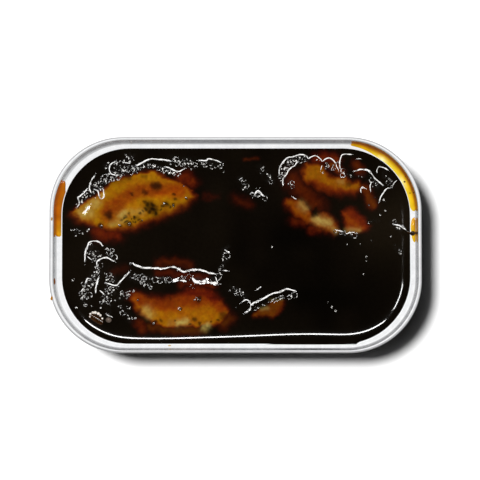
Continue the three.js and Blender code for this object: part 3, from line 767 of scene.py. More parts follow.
for squid in SQUID:
    places, faces = closed_rings(squid_rings(squid))
    colours = film_colour(places[:, 0], places[:, 1])
    piece = wet_piece(squid["name"] + "_flesh", places, faces, colours, wet)
    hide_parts(squid["name"])
    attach(piece, "root")

# ---------------------------------------------------------------- the ink sauce
# Thin black sauce fills the tin and creeps up its wall, as a wetting liquid does. Folds of skin and scraps of
# filling just under its surface lift it into fine ridges, and froth lies along the squid.
CELL = 0.15
CREEP = 1.7
GRID_INSET = 2.4
LIP_CLING = 0.95
CLINGS = [
    # where the sauce stands lower or higher at the wall: x, y, reach, change
    (-22.0, -27.5, 17.0, -0.25), (21.0, -27.5, 15.0, 0.5),
]
LEFT_BOX = ((-17.4, -4.0), (-12.1, 15.8))
FOAM_WHITE = 0.006
FOLD_REACH = 2.6
FOLD_WAVE = 0.12
FOLD_BACK = 0.9
FOLD_END = 0.8
STEEPEST = 0.3
LAMP_SIDE = (-0.35, 0.94)
BUBBLE_AIM = (-0.3, 0.95)
BUBBLE_LEAST = 0.14
BUBBLE_SPREAD = 0.7
BUBBLES_APART = 0.75
LONE_SLOPE = 0.14
LONE_FLANK = 0.18
BARE_SKIN = 0.002
BARE_SUNK = 0.4
FOLDS = [
    # where a ridge shines, drawn from the photograph: its lit flank lies along this line
    (0.65, [(-27.9, 22.4), (-26.4, 23.2), (-24.0, 24.3), (-21.8, 24.2), (-19.7, 24.0), (-18.2, 23.7)]),
    (0.45, [(-19.7, 22.2), (-18.6, 21.8), (-16.1, 20.8), (-14.3, 21.6)]),
    (0.45, [(-33.7, 23.6), (-35.0, 22.8), (-35.4, 21.7), (-35.0, 20.3), (-34.0, 19.8)]),
    (0.2, [(-31.9, 23.5), (-30.4, 23.2), (-29.4, 23.1)]),
    (0.45, [(-39.5, 19.7), (-40.6, 17.9), (-41.0, 16.3), (-40.4, 14.6)]),
    (0.45, [(-44.5, 10.7), (-43.8, 11.8), (-44.2, 13.4), (-43.5, 13.9), (-41.4, 16.1)]),
    (0.45, [(-39.7, 15.9), (-38.7, 15.3), (-38.2, 13.9), (-37.8, 13.0)]),
    (0.45, [(-37.1, 15.3), (-36.9, 13.9), (-37.6, 13.0)]),
    (0.9, [(-42.5, 9.0), (-41.7, 9.9), (-41.1, 11.1)]),
    (0.45, [(-10.3, 23.9), (-8.3, 23.9), (-7.6, 24.4), (-6.0, 24.1), (-3.8, 23.2)]),
    (0.2, [(-17.4, 25.0), (-16.2, 24.7)]),
    (0.45, [(-42.2, -4.8), (-42.1, -2.0), (-41.1, 0.6), (-39.7, 1.3), (-38.1, 0.9), (-37.2, -0.2)]),
    (0.45, [(-41.5, -3.1), (-40.4, -4.0)]),
    (0.45, [(-38.8, -5.7), (-38.7, -4.4), (-37.2, -3.6), (-35.8, -3.5), (-34.0, -4.5)]),
    (0.45, [(-39.2, -13.4), (-39.0, -11.4), (-38.3, -8.8)]),
    (0.45, [(-36.1, -10.6), (-33.5, -11.2), (-32.4, -10.3), (-30.8, -8.6), (-29.7, -7.4)]),
    (0.45, [(-43.5, -13.1), (-42.1, -11.6)]),
    (0.45, [(-42.0, -10.6), (-41.5, -9.3), (-40.8, -9.4)]),
    (0.45, [(-38.0, -12.5), (-36.7, -13.8)]),
    (0.65, [(-28.7, -5.2), (-27.5, -5.8), (-25.8, -6.3), (-22.1, -6.4), (-19.8, -6.5), (-17.8, -6.0),
      (-16.1, -6.5), (-14.7, -7.4), (-12.9, -7.0), (-11.1, -6.8), (-8.9, -7.1), (-7.2, -7.7),
      (-5.6, -8.0)]),
    (0.45, [(-5.6, -8.8), (-4.9, -10.6)]),
    (1.4, [(-17.4, -10.0), (-15.9, -9.3)]),
    (0.8, [(-15.6, -9.9), (-13.6, -10.0)]),
    (1.6, [(-12.2, -9.0), (-11.2, -10.2), (-9.8, -10.3)]),
    (1.5, [(-9.4, -10.2), (-7.8, -9.9)]),
    (1.3, [(-7.4, -10.4), (-4.9, -10.8)]),
    (0.45, [(12.3, 19.8), (12.3, 21.5), (13.0, 22.9), (14.4, 24.5), (16.1, 25.0), (17.7, 25.5),
      (19.7, 25.3), (20.5, 24.3)]),
    (0.45, [(13.3, 16.9), (13.3, 18.7), (14.1, 19.8), (15.1, 21.4), (16.6, 22.5), (17.5, 23.7)]),
    (0.45, [(20.5, 24.3), (21.4, 25.0), (22.5, 25.2), (23.9, 24.3), (24.3, 23.5)]),
    (0.45, [(24.3, 23.6), (25.8, 24.6), (27.0, 24.3), (28.1, 23.2), (28.6, 21.8), (29.0, 21.1)]),
    (0.32, [(23.9, 21.2), (24.3, 22.6)]),
    (0.45, [(29.5, 21.5), (29.2, 23.2), (29.6, 24.9), (30.4, 25.7), (32.8, 25.5)]),
    (0.32, [(34.3, 24.4), (35.3, 24.3)]),
    (0.45, [(33.5, 20.9), (35.0, 21.4), (37.0, 21.2), (38.1, 20.4), (39.0, 19.0), (40.3, 17.9),
      (41.5, 16.8)]),
    (0.32, [(39.8, 20.4), (39.7, 21.2), (40.3, 22.1), (41.7, 21.8), (43.0, 21.1)]),
    (0.32, [(44.0, 16.1), (44.4, 17.3), (45.4, 18.4)]),
    (0.45, [(40.3, 12.3), (40.9, 13.9), (42.3, 15.9), (43.1, 16.1)]),
    (0.32, [(35.3, 14.8), (35.2, 15.9), (35.7, 16.4), (36.6, 15.9)]),
    (0.32, [(38.1, 17.9), (37.8, 16.7), (38.0, 15.1)]),
    (0.32, [(31.1, 3.2), (32.0, 3.7), (33.1, 3.7)]),
    (0.32, [(28.4, 4.3), (30.0, 3.9)]),
    (0.32, [(16.0, 13.7), (17.1, 13.0)]),
    (0.32, [(44.5, 5.9), (46.2, 5.5), (47.9, 4.2)]),
    (0.65, [(4.2, -16.9), (5.6, -15.9), (7.5, -15.1), (10.1, -13.6), (12.4, -13.1), (14.4, -12.2),
      (16.9, -12.8)]),
    (0.65, [(2.8, -18.9), (3.9, -18.1), (4.3, -16.9)]),
    (0.45, [(1.9, -15.8), (2.9, -15.2), (3.9, -15.7), (4.4, -16.8)]),
    (0.45, [(5.2, 14.0), (6.3, 15.4), (7.8, 13.9)]),
    (0.45, [(-2.8, -1.4), (-1.5, -2.2)]),
    (0.32, [(-3.4, -7.0), (-2.1, -7.2)]),
    (0.45, [(-3.9, -8.9), (-5.0, -10.0)]),
    (0.32, [(5.8, -12.5), (6.8, -11.8)]),
    (0.32, [(-36.1, -19.3), (-34.4, -20.2)]),
]
FROTH_DENSITY = 9
FROTH = [
    # line of froth, half-width, strength
    ([(-44.0, 11.5), (-42.5, 14.0), (-40.0, 15.5), (-36.0, 19.0), (-32.0, 20.5), (-28.0, 21.5)], 1.4, 1.0),
    ([(-36.0, 22.0), (-33.0, 22.5)], 1.2, 0.7),
    ([(-28.0, 21.7), (-24.0, 22.4), (-20.0, 21.4), (-16.0, 19.9)], 0.8, 1.0),
    ([(-31.0, 23.5), (-29.0, 25.0)], 1.2, 0.9),
    ([(-18.0, 24.0), (-14.0, 23.0), (-12.0, 23.2)], 1.4, 1.0),
    ([(-12.0, 23.2), (-8.0, 23.0), (-4.0, 22.6)], 1.2, 0.6),
    ([(-45.0, 3.4), (-42.0, 4.0), (-40.5, 5.4)], 0.8, 0.45),
    ([(-41.0, -0.5), (-39.0, -3.0), (-38.5, -5.5)], 1.7, 0.62),
    ([(-36.0, -1.5), (-34.0, -3.5)], 1.2, 0.45),
    ([(-39.0, -8.0), (-42.0, -12.5), (-42.5, -17.0)], 1.7, 0.55),
    ([(-36.0, -8.0), (-34.5, -11.5), (-36.0, -15.5)], 2.0, 0.62),
    ([(-33.0, -15.0), (-29.0, -13.0)], 1.2, 0.35),
    ([(-29.5, -8.6), (-26.0, -9.6), (-24.5, -11.6)], 1.2, 0.62),
    ([(-24.0, -9.2), (-20.0, -9.6), (-16.0, -9.4), (-6.0, -9.7)], 0.8, 0.85),
    ([(-2.6, -1.0), (-3.2, -3.6)], 1.2, 0.9),
    ([(-3.6, -5.2), (-4.8, -9.0)], 0.9, 0.5),
    ([(13.0, 18.0), (13.4, 21.0), (15.2, 23.6), (19.6, 24.3)], 0.9, 1.3),
    ([(15.2, 18.0), (15.9, 16.6)], 0.8, 0.6),
    ([(25.5, 22.8), (28.0, 21.5), (29.6, 20.6)], 1.2, 0.6),
    ([(29.6, 19.9), (33.0, 19.6), (36.0, 19.6)], 0.7, 0.42),
    ([(38.0, 18.6), (39.5, 17.0)], 1.2, 0.6),
    ([(42.0, 20.0), (44.0, 17.0)], 1.0, 0.4),
    ([(36.5, 6.6), (40.0, 6.9)], 0.5, 0.4),
    ([(44.0, 6.0), (46.6, 4.8)], 0.9, 0.75),
    ([(45.0, -0.5), (46.5, -2.0)], 0.8, 0.4),
    ([(28.6, 3.8), (33.4, 3.0)], 0.9, 1.0),
    ([(1.5, 18.5), (3.0, 16.0)], 1.1, 0.75),
    ([(7.0, 21.6), (10.0, 18.4)], 1.2, 0.45),
    ([(5.0, 14.6), (8.4, 13.6)], 0.9, 0.8),
    ([(4.8, -18.4), (10.0, -15.7), (16.6, -13.8)], 0.5, 0.7),
    ([(-32.0, -17.5), (-29.5, -20.5)], 1.2, 0.45),
    ([(-1.0, -12.0), (2.5, -14.0)], 1.2, 0.4),
    ([(-38.0, -17.5), (-35.5, -18.6)], 0.8, 0.7),
]
LONE_BUBBLES = [
    # x, y, radius
    (34.0, 3.3, 0.18), (38.2, 1.3, 0.18), (36.7, -3.2, 0.24), (36.8, -4.3, 0.21), (36.0, -8.1, 0.21),
    (25.8, -16.0, 0.18), (27.0, -17.3, 0.24), (28.0, -18.3, 0.24), (44.6, 0.2, 0.18), (6.0, -12.3, 0.21),
    (-1.7, -12.7, 0.21), (0.2, -17.5, 0.18), (-30.8, 25.6, 0.21), (-3.4, 20.8, 0.24), (-45.4, -9.6, 0.36),
    (-44.4, -17.7, 0.24), (-33.8, -15.6, 0.24), (-40.2, -17.0, 0.18), (-32.2, -16.9, 0.18),
    (-30.2, -17.4, 0.36), (-29.5, -17.6, 0.21), (-28.0, -20.4, 0.21), (-27.4, -15.4, 0.18),
    (-22.9, -21.9, 0.21), (-15.6, -17.8, 0.40), (-11.6, -15.3, 0.21), (-10.9, -15.0, 0.40),
    (-9.9, -15.1, 0.21), (-46.0, 4.4, 0.21), (-43.6, 3.6, 0.24), (-42.8, 3.4, 0.21), (-20.0, 11.9, 0.18),
    (-17.5, 11.2, 0.24), (-13.9, 13.3, 0.21), (-26.2, 7.0, 0.18), (-37.6, 5.3, 0.36), (-29.9, 6.0, 0.36),
    (-32.6, 5.7, 0.21), (10.2, -0.4, 0.18), (-14.6, 16.8, 0.18), (24.6, 20.5, 0.21), (22.9, 24.0, 0.18),
    (40.6, 8.6, 0.18), (42.0, 9.8, 0.18), (37.4, 11.4, 0.18), (39.0, 13.4, 0.18), (41.6, 12.8, 0.21),
    (35.0, 0.3, 0.15), (31.2, 0.4, 0.18), (43.6, 2.4, 0.18),
]


def edge_depth(x, y, inset):
    """How far inside the lid's outline at that inset a point lies."""
    half_x, half_y = HALF_LENGTH - inset * (1 + ENDS_WIDER), HALF_WIDTH - inset * (1 - ENDS_WIDER)
    radius = CORNER_RADIUS - inset * CORNER_EASE
    dx = np.abs(x - OPENING_DRIFT[0] * inset) - (half_x - radius)
    dy = np.abs(y - OPENING_DRIFT[1] * inset) - (half_y - radius)
    return radius - np.hypot(np.maximum(dx, 0), np.maximum(dy, 0)) - np.minimum(np.maximum(dx, dy), 0)


def settle(bed, held, hold_at, rounds=110, hurry=1.85):
    """The liquid's skin over a bed: it clings to whatever stands above it and to the held rim."""
    surface = np.where(held, hold_at, np.maximum(bed, SAUCE_LEVEL))
    weight = (CELL / CREEP) ** 2
    rows, columns = np.indices(bed.shape)
    for _ in range(rounds):
        for colour in (0, 1):
            padded = np.pad(surface, 1, mode="edge")
            around = padded[:-2, 1:-1] + padded[2:, 1:-1] + padded[1:-1, :-2] + padded[1:-1, 2:]
            relaxed = (around + weight * SAUCE_LEVEL) / (4 + weight)
            relaxed = surface + hurry * (relaxed - surface)
            swap = ((rows + columns) % 2 == colour) & ~held
            surface = np.where(swap, np.maximum(bed, relaxed), surface)
    return surface


columns = int(round(2 * (HALF_LENGTH - GRID_INSET) / CELL / 2)) * 2
grid_x = (np.arange(columns + 1) - columns / 2) * CELL
rows = int(round((HALF_WIDTH - GRID_INSET) / CELL)) * 2
grid_y = (np.arange(rows + 1) - rows / 2) * CELL
X, Y = np.meshgrid(grid_x, grid_y)


def cell_of(x, y):
    """Row and column of the grid's point nearest to a place."""
    row = np.round((np.asarray(y) - grid_y[0]) / CELL).astype(int)
    column = np.round((np.asarray(x) - grid_x[0]) / CELL).astype(int)
    return np.clip(row, 0, rows), np.clip(column, 0, columns)


def patch_of_grid(xs, ys, reach):
    """The slices of the grid that cover some points and a margin round them."""
    spans = []
    for values, start in ((ys, grid_y[0]), (xs, grid_x[0])):
        first = max(int((min(values) - reach - start) / CELL), 0)
        spans.append(slice(first, max(int((max(values) + reach - start) / CELL) + 2, 0)))
    return tuple(spans)


flesh = np.full(X.shape, -np.inf)
for squid in SQUID:
    flesh = np.maximum(flesh, squid_back(squid, *along_and_across(squid, X, Y)))
cling = np.full(X.shape, LIP_CLING)
for at_x, at_y, reach, change in CLINGS:
    cling = cling + change * bell(np.hypot(X - at_x, Y - at_y), reach)
skin = settle(flesh, edge_depth(X, Y, LIP_INSET) <= 0, SAUCE_LEVEL + cling)


def shining_slope(x, y, aim_x, aim_y):
    """The slope at which the skin, falling towards the aim, mirrors a softbox to the camera."""
    view_x = x / CAMERA_DISTANCE
    view_y = (y - VIEW_CENTRE[1]) / CAMERA_DISTANCE + math.radians(90 - CAMERA_ELEVATION)
    back_slope = (math.radians(BACK_TILT) - view_y) / 2 / np.maximum(aim_y, 0.35)
    from_x, from_y = ((math.radians(a) - b) / 2 for a, b in zip(LEFT_BOX[0], (view_x, view_y)))
    run_x, run_y = (math.radians(b - a) / 2 for a, b in zip(*LEFT_BOX))
    left_slope = (from_x * run_y - from_y * run_x) / np.minimum(aim_x * run_y - aim_y * run_x, -1e-3)
    return np.where(aim_x < -0.25, np.minimum(back_slope, left_slope), back_slope)


relief = np.zeros(X.shape)
calm = np.zeros(X.shape)
fall_y, fall_x = np.gradient(-skin, CELL)
for width, gleam in FOLDS:
    patch = patch_of_grid(*zip(*gleam), FOLD_REACH)
    x, y = X[patch], Y[patch]
    x, y = x + FOLD_WAVE * mottle(x, y, 0.8, 31), y + FOLD_WAVE * mottle(x, y, 0.8, 32)
    nearest = np.full(x.shape, np.inf)
    ahead, beyond, aim_x, aim_y = (np.zeros(x.shape) for _ in range(4))
    for k, ((ax, ay), (bx, by)) in enumerate(zip(gleam[:-1], gleam[1:])):
        length = math.hypot(bx - ax, by - ay)
        nx, ny = (by - ay) / length, (ax - bx) / length
        if nx * LAMP_SIDE[0] + ny * LAMP_SIDE[1] < 0:
            nx, ny = -nx, -ny
        along = ((x - ax) * (bx - ax) + (y - ay) * (by - ay)) / length
        over = np.maximum(np.maximum(-along, along - length), 0)
        gap = np.hypot(x - ax, y - ay) ** 2 - along ** 2
        gap = np.sqrt(np.maximum(gap, 0) + over ** 2)
        closer = gap < nearest
        nearest = np.where(closer, gap, nearest)
        ahead = np.where(closer, np.where((x - ax) * nx + (y - ay) * ny > 0, gap, -gap), ahead)
        at_end = (k == 0) * (along < 0) + (k == len(gleam) - 2) * (along > length)
        beyond = np.where(closer, over * at_end, beyond)
        aim_x, aim_y = np.where(closer, nx, aim_x), np.where(closer, ny, aim_y)
    needed = shining_slope(x, y, aim_x, aim_y) - fall_x[patch] * aim_x - fall_y[patch] * aim_y
    width = width * (1 + 0.4 * mottle(x - ahead * aim_x, y - ahead * aim_y, 1.3, 34))
    flank = np.clip(0.5 - ahead / width, 0, 1) * bell(np.minimum(ahead + width / 2, 0), FOLD_BACK)
    ridge = np.clip(needed, 0, STEEPEST) * width * flank * bell(beyond, FOLD_END)
    relief[patch] = np.maximum(relief[patch], ridge)
    calm[patch] = np.maximum(calm[patch], bell(ahead, width, 4) * bell(beyond, FOLD_END))

froth = np.zeros(X.shape)
for points, half_width, strength in FROTH:
    patch = patch_of_grid(*zip(*points), 2 * half_width)
    near = bell(distance_to_line(X[patch], Y[patch], points), half_width, 3)
    froth[patch] = np.maximum(froth[patch], strength * near)
froth *= np.clip(0.95 + 0.9 * mottle(X, Y, 1.9, 44), 0.1, 1.5)

chance = np.random.default_rng(51)
bubbles = np.zeros((0, 3))
froth_relief = np.zeros(X.shape)


def raise_ring(at, radius, steep, flank):
    """Lifts the skin into a low round ridge, which a bubble's foot makes."""
    patch = patch_of_grid([at[0]], [at[1]], radius + flank)
    ring = np.abs(np.hypot(X[patch] - at[0], Y[patch] - at[1]) - radius)
    froth_relief[patch] = np.maximum(froth_relief[patch], steep * np.clip(flank - ring, 0, flank))


for points, half_width, strength in FROTH:
    points = np.array(points)
    lengths = np.hypot(*np.diff(points, axis=0).T)
    for _ in range(int(FROTH_DENSITY * strength * half_width * lengths.sum())):
        leg = chance.choice(len(lengths), p=lengths / lengths.sum())
        at = points[leg] + chance.random() * (points[leg + 1] - points[leg])
        at = at + chance.normal(0, 0.5 * half_width, 2)
        radius = BUBBLE_LEAST + BUBBLE_SPREAD * chance.random() ** 3
        apart = np.hypot(bubbles[:, 0] - at[0], bubbles[:, 1] - at[1])
        crowded = np.any(apart < BUBBLES_APART * (bubbles[:, 2] + radius))
        if crowded or edge_depth(*at, LIP_INSET) < radius + 0.2:
            continue
        if froth[cell_of(*at)] < 0.25 or calm[cell_of(*at)] > 0.3:
            continue
        bubbles = np.vstack([bubbles, [*at, radius]])
        steep = shining_slope(*at, *BUBBLE_AIM) * chance.uniform(0.8, 1.35)
        raise_ring(at, radius, steep, min(0.3, 0.8 * radius))
bubbles = np.vstack([bubbles, LONE_BUBBLES])
for *at, radius in LONE_BUBBLES:
    raise_ring(at, radius, LONE_SLOPE, LONE_FLANK)
relief = relief + froth_relief * (1 - calm)
skin = skin + relief * np.clip(edge_depth(X, Y, LIP_INSET) / 0.8, 0, 1)
foam = np.clip(froth, 0, 1) * np.exp(-((mottle(X, Y, 0.8, 41) + 0.4 * mottle(X, Y, 0.4, 42)) / 0.4) ** 2)

slope_y, slope_x = np.gradient(skin, CELL)
normals = np.stack([-slope_x, -slope_y, np.ones(X.shape)], -1)
normals /= np.linalg.norm(normals, axis=-1, keepdims=True)
sunk = np.where(skin - flesh < BARE_SKIN, BARE_SUNK, 0.0)

third = columns // 3
for name, first, last in (("ink_sauce_left", 0, third), ("ink_sauce_middle", third, 2 * third),
                          ("ink_sauce_right", 2 * third, columns)):
    # one third of the sauce, closed: the relaxed skin above, straight sides and a flat foot
    part = slice(first, last + 1)
    inside = edge_depth(X[:, part], Y[:, part], GRID_INSET) > 0
    index = np.full(inside.shape, -1)
    index[inside] = np.arange(inside.sum())
    places = np.stack([X[:, part], Y[:, part], (skin - sunk)[:, part]], -1)[inside] * MM
    quads = np.stack([index[:-1, :-1], index[:-1, 1:], index[1:, 1:], index[1:, :-1]], -1).reshape(-1, 4)
    mesh = bpy.data.meshes.new(name)
    mesh.from_pydata(places.tolist(), [], quads[(quads >= 0).all(1)].tolist())
    edit = bmesh.new()
    edit.from_mesh(mesh)
    bmesh.ops.delete(edit, geom=[v for v in edit.verts if not v.link_faces], context="VERTS")
    skirt = bmesh.ops.extrude_edge_only(edit, edges=[e for e in edit.edges if e.is_boundary])["geom"]
    for corner in skirt:
        if isinstance(corner, bmesh.types.BMVert):
            corner.co.z = CONTENTS_FOOT * MM
    bmesh.ops.holes_fill(edit, edges=[e for e in edit.edges if e.is_boundary], sides=0)
    bmesh.ops.recalc_face_normals(edit, faces=edit.faces)
    for face in edit.faces:
        face.smooth = face.normal.z > 0.2
    edit.to_mesh(mesh)
    edit.free()
    mesh.materials.append(wet)
    co = np.empty(3 * len(mesh.vertices))
    mesh.vertices.foreach_get("co", co)
    co = co.reshape(-1, 3) / MM
    nearest = cell_of(co[:, 0], co[:, 1])
    set_film(mesh, film_colour(co[:, 0], co[:, 1]) + FOAM_WHITE * foam[nearest][:, None])
    mesh.normals_split_custom_set_from_vertices(normals[nearest].tolist())
    piece = add_object(name, mesh)
    lit_liquid.objects.link(piece)
    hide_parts("sauce")
    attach(piece, "root")

# ---------------------------------------------------------------- the tentacle tip
# The end of one arm pokes out of the sauce at the front left: a brown tapering arm with a row of pale suckers
# along its back, painted paler still to stand for their highlights, and a paler, rounded tip that just comes
# up.
ARM_LINE = [(-41.0, -19.5), (-40.0, -20.0), (-39.0, -20.6), (-38.0, -21.2), (-37.0, -21.8)]
ARM_RADIUS = [0.9, 1.35, 1.55, 1.45, 0.9]
ARM_TOP = 0.45
ARM_STATIONS = 26
ARM_SIDES = 24
ARM_ACROSS = (0.36, 0.93)
TIP_AT = (-35.5, -20.9, -0.35)
TIP_SIZE = (0.95, 0.85, 0.8)
TIP_RINGS = 12
SUCKERS = [
    # x, y, radius
    (-40.6, -19.2, 0.3), (-39.9, -18.9, 0.4), (-39.2, -18.8, 0.42), (-38.4, -19.1, 0.42),
    (-37.8, -19.6, 0.36), (-40.7, -20.0, 0.24), (-37.3, -20.5, 0.3),
]
CUP_SIDES = 14
CUP = [(0.75, -0.3), (1.0, 0.0), (0.95, 0.3), (0.72, 0.42), (0.45, 0.3), (0.25, 0.12)]
ARM_COLOUR = (0.026, 0.009, 0.0025)
# The suckers' own pale colour, painted paler still as a painted highlight.
SUCKER_AND_GLINT_COLOUR = (0.62, 0.57, 0.52)
TIP_COLOUR = (0.1, 0.075, 0.06)


def circle(sides):
    angles = 2 * math.pi * np.arange(sides) / sides
    return np.cos(angles), np.sin(angles)


def level_ring(x, y, z, size_x, size_y, sides):
    east, north = circle(sides)
    return np.column_stack([x + size_x * east, y + size_y * north, np.full(sides, z)])


def joined(bodies):
    """Points, faces and colours of several bodies, each of its points and faces and its colour."""
    points, faces, colours = [], [], []
    for (spots, sides), colour in bodies:
        faces.extend(tuple(corner + len(points) for corner in face) for face in sides)
        points.extend(spots)
        colours.extend([colour] * len(spots))
    return np.array(points), faces, np.array(colours)


shares = np.linspace(0, 1, ARM_STATIONS)
knots = np.linspace(0, 1, len(ARM_LINE))
line_x, line_y = (np.interp(shares, knots, [point[k] for point in ARM_LINE]) for k in (0, 1))
girths = np.interp(shares, knots, ARM_RADIUS) * np.sqrt(np.clip(1 - (2 * shares - 1) ** 8, 0.02, 1))
across, up = circle(ARM_SIDES)
arm_rings = [np.column_stack([at_x + ARM_ACROSS[0] * girth * across, at_y + ARM_ACROSS[1] * girth * across,
                              SAUCE_LEVEL + ARM_TOP + 0.9 * girth * (up - 1)])
             for at_x, at_y, girth in zip(line_x, line_y, girths)]
tip_rings = []
for tilt in math.pi * np.arange(1, TIP_RINGS) / TIP_RINGS:
    wide, deep = TIP_SIZE[0] * math.sin(tilt), TIP_SIZE[1] * math.sin(tilt)
    height = SAUCE_LEVEL + TIP_AT[2] + TIP_SIZE[2] * math.cos(tilt)
    tip_rings.append(level_ring(*TIP_AT[:2], height, wide, deep, ARM_SIDES))
bodies = [(closed_rings(arm_rings), ARM_COLOUR), (closed_rings(tip_rings), TIP_COLOUR)]
for at_x, at_y, radius in SUCKERS:
    gaps = np.hypot(line_x - at_x, line_y - at_y)
    girth = girths[gaps.argmin()]
    off = min(gaps.min() / max(girth, 0.1), 0.98)
    foot = max(SAUCE_LEVEL + ARM_TOP + 0.9 * girth * (math.sqrt(1 - off ** 2) - 1), SAUCE_LEVEL + 0.02)
    cup = [level_ring(at_x, at_y, foot + radius * rise, radius * reach, radius * reach, CUP_SIDES)
           for reach, rise in CUP]
    bodies.append((closed_rings(cup), SUCKER_AND_GLINT_COLOUR))
places, faces, colours = joined(bodies)
colours = colours * (1 + 0.35 * mottle(places[:, 0], places[:, 1], 0.6, 61))[:, None]
arm = wet_piece("tentacle_tip_flesh", places, faces, colours, wet, 60)
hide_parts("tentacle_tip")
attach(arm, "root")

# ---------------------------------------------------------------- the froth
# Fine bubbles burst and stand along the squid. The glint round each one's foot is painted as a thin pale ring
# on the black sauce, brighter on some sides than on others: every ring is a tube of its own, half sunk in the
# skin.
RING_TUBE = 0.08
RING_POINTS = 14
RING_SIDES = 4

# The rings' patchy near-white colour is a painted highlight.
ring_glint_paint, tree, shader = new_material("bubble_ring_glint")
patchy = object_noise(tree, 1500.0, 1.0)
film = ramp_of(tree, patchy, [(0.5, (0.01, 0.008, 0.006)), (0.6, (0.98, 0.96, 0.92))])
feed(tree, shader, {"Base Color": film, "Roughness": 0.12, "IOR": 1.34})


def round_curve(tree, radius, points):
    return add_node(tree, "GeometryNodeCurvePrimitiveCircle", {"Radius": radius, "Resolution": points})


def ring_scatter_group():
    """A thin tube ring on every point, as wide as the point's radius."""
    tree, given = new_group("ring_scatter", {
        "Tube Radius": "Float", "Ring Points": "Int", "Tube Sides": "Int"})
    ring = round_curve(tree, 1.0, given["Ring Points"])
    tube = round_curve(tree, given["Tube Radius"], given["Tube Sides"])
    size = add_node(tree, "GeometryNodeInputNamedAttribute", {"Name": "radius"}, data_type="FLOAT")
    placed = add_node(tree, "GeometryNodeInstanceOnPoints", {
        "Points": given["Geometry"], "Instance": ring, "Scale": size})
    rings = add_node(tree, "GeometryNodeRealizeInstances", {0: placed})
    swept = add_node(tree, "GeometryNodeCurveToMesh", {"Curve": rings, "Profile Curve": tube})
    return end_group(tree, swept, given["Material"])


heights = skin[cell_of(bubbles[:, 0], bubbles[:, 1])]
froth_glint_rings = grown_piece(
    "froth_glint_rings", lit_liquid, np.column_stack([bubbles[:, :2], heights]).tolist(), [], ring_scatter_group(),
    {"Tube Radius": RING_TUBE, "Ring Points": RING_POINTS, "Tube Sides": RING_SIDES, "Material": ring_glint_paint},
    180, radius=bubbles[:, 2])
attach(froth_glint_rings, "root")

# ---------------------------------------------------------------- painted highlights along the folds
# Where the sauce's skin has wrinkled, the shine along each fold is painted on as a fine pale roll. Each roll
# is a tube that runs along its fold, half sunk in the skin, and thins out at both ends.
EDGE_STEP = 0.16
EDGE_SIDES = 6
EDGE_SHARE = 0.27
EDGE_LEAST = 0.05
EDGE_WAVE = 0.1
EDGE_TAPER = 0.7

# The rolls' patchy near-white colour is a painted highlight.
fold_highlight_paint, tree, shader = new_material("fatty_film")
patchy = object_noise(tree, 900.0, 2.0)
film = ramp_of(tree, patchy, [(0.32, (0.25, 0.24, 0.22)), (0.5, (0.95, 0.94, 0.92))])
feed(tree, shader, {"Base Color": film, "Roughness": 0.2, "IOR": 1.36})


def painted_gleam_roll_group():
    """A tube along each line of points, as thick as each point's thickness says, closed at its ends."""
    tree, given = new_group("painted_gleam_roll", {"Tube Sides": "Int"})
    lines = add_node(tree, "GeometryNodeMeshToCurve", {"Mesh": given["Geometry"]})
    size = add_node(tree, "GeometryNodeInputNamedAttribute", {"Name": "thickness"}, data_type="FLOAT")
    swept = add_node(tree, "GeometryNodeCurveToMesh", {
        "Curve": lines, "Profile Curve": round_curve(tree, 1.0, given["Tube Sides"]), "Scale": size,
        "Fill Caps": True})
    return end_group(tree, swept, given["Material"])


def rounded_line(points, step):
    """Points every step along a smooth curve through the given ones, and each one's share of the length."""
    points = np.array(points)
    padded = np.vstack([2 * points[0] - points[1], points, 2 * points[-1] - points[-2]])
    spots = []
    for before, at, to, after in zip(padded[:-3], padded[1:-2], padded[2:-1], padded[3:]):
        t = np.linspace(0, 1, 12, endpoint=False)[:, None]
        bend = (2 * before - 5 * at + 4 * to - after) * t ** 2 + (3 * at - before - 3 * to + after) * t ** 3
        spots.append(at + 0.5 * ((to - before) * t + bend))
    spots = np.vstack(spots + [points[-1:]])
    run = np.concatenate([[0], np.cumsum(np.hypot(*np.diff(spots, axis=0).T))])
    share = np.linspace(0, 1, max(int(run[-1] / step), 4) + 1)
    return np.stack([np.interp(share * run[-1], run, spots[:, k]) for k in (0, 1)], -1), share, run[-1]


roll_points, roll_edges, roll_girths = [], [], []
for width, gleam in FOLDS:
    line, share, run = rounded_line(gleam, EDGE_STEP)
    line = line + EDGE_WAVE * np.stack([mottle(line[:, 0], line[:, 1], 0.8, seed) for seed in (31, 32)], -1)
    x, y = line.T
    taper = np.sqrt(np.clip(np.minimum(share, 1 - share) * run / EDGE_TAPER, 0.03, 1))
    roll_girths.extend((EDGE_LEAST + EDGE_SHARE * width) * taper * (1 + 0.35 * mottle(x, y, 0.9, 71)))
    first = len(roll_points)
    roll_points.extend(np.column_stack([line, skin[cell_of(x, y)]]).tolist())
    roll_edges.extend((k, k + 1) for k in range(first, len(roll_points) - 1))
painted_gleam_rolls = grown_piece("painted_gleam_rolls", lit_liquid, roll_points, roll_edges, painted_gleam_roll_group(), {
    "Tube Sides": EDGE_SIDES, "Material": fold_highlight_paint}, 180, thickness=roll_girths)
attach(painted_gleam_rolls, "root")
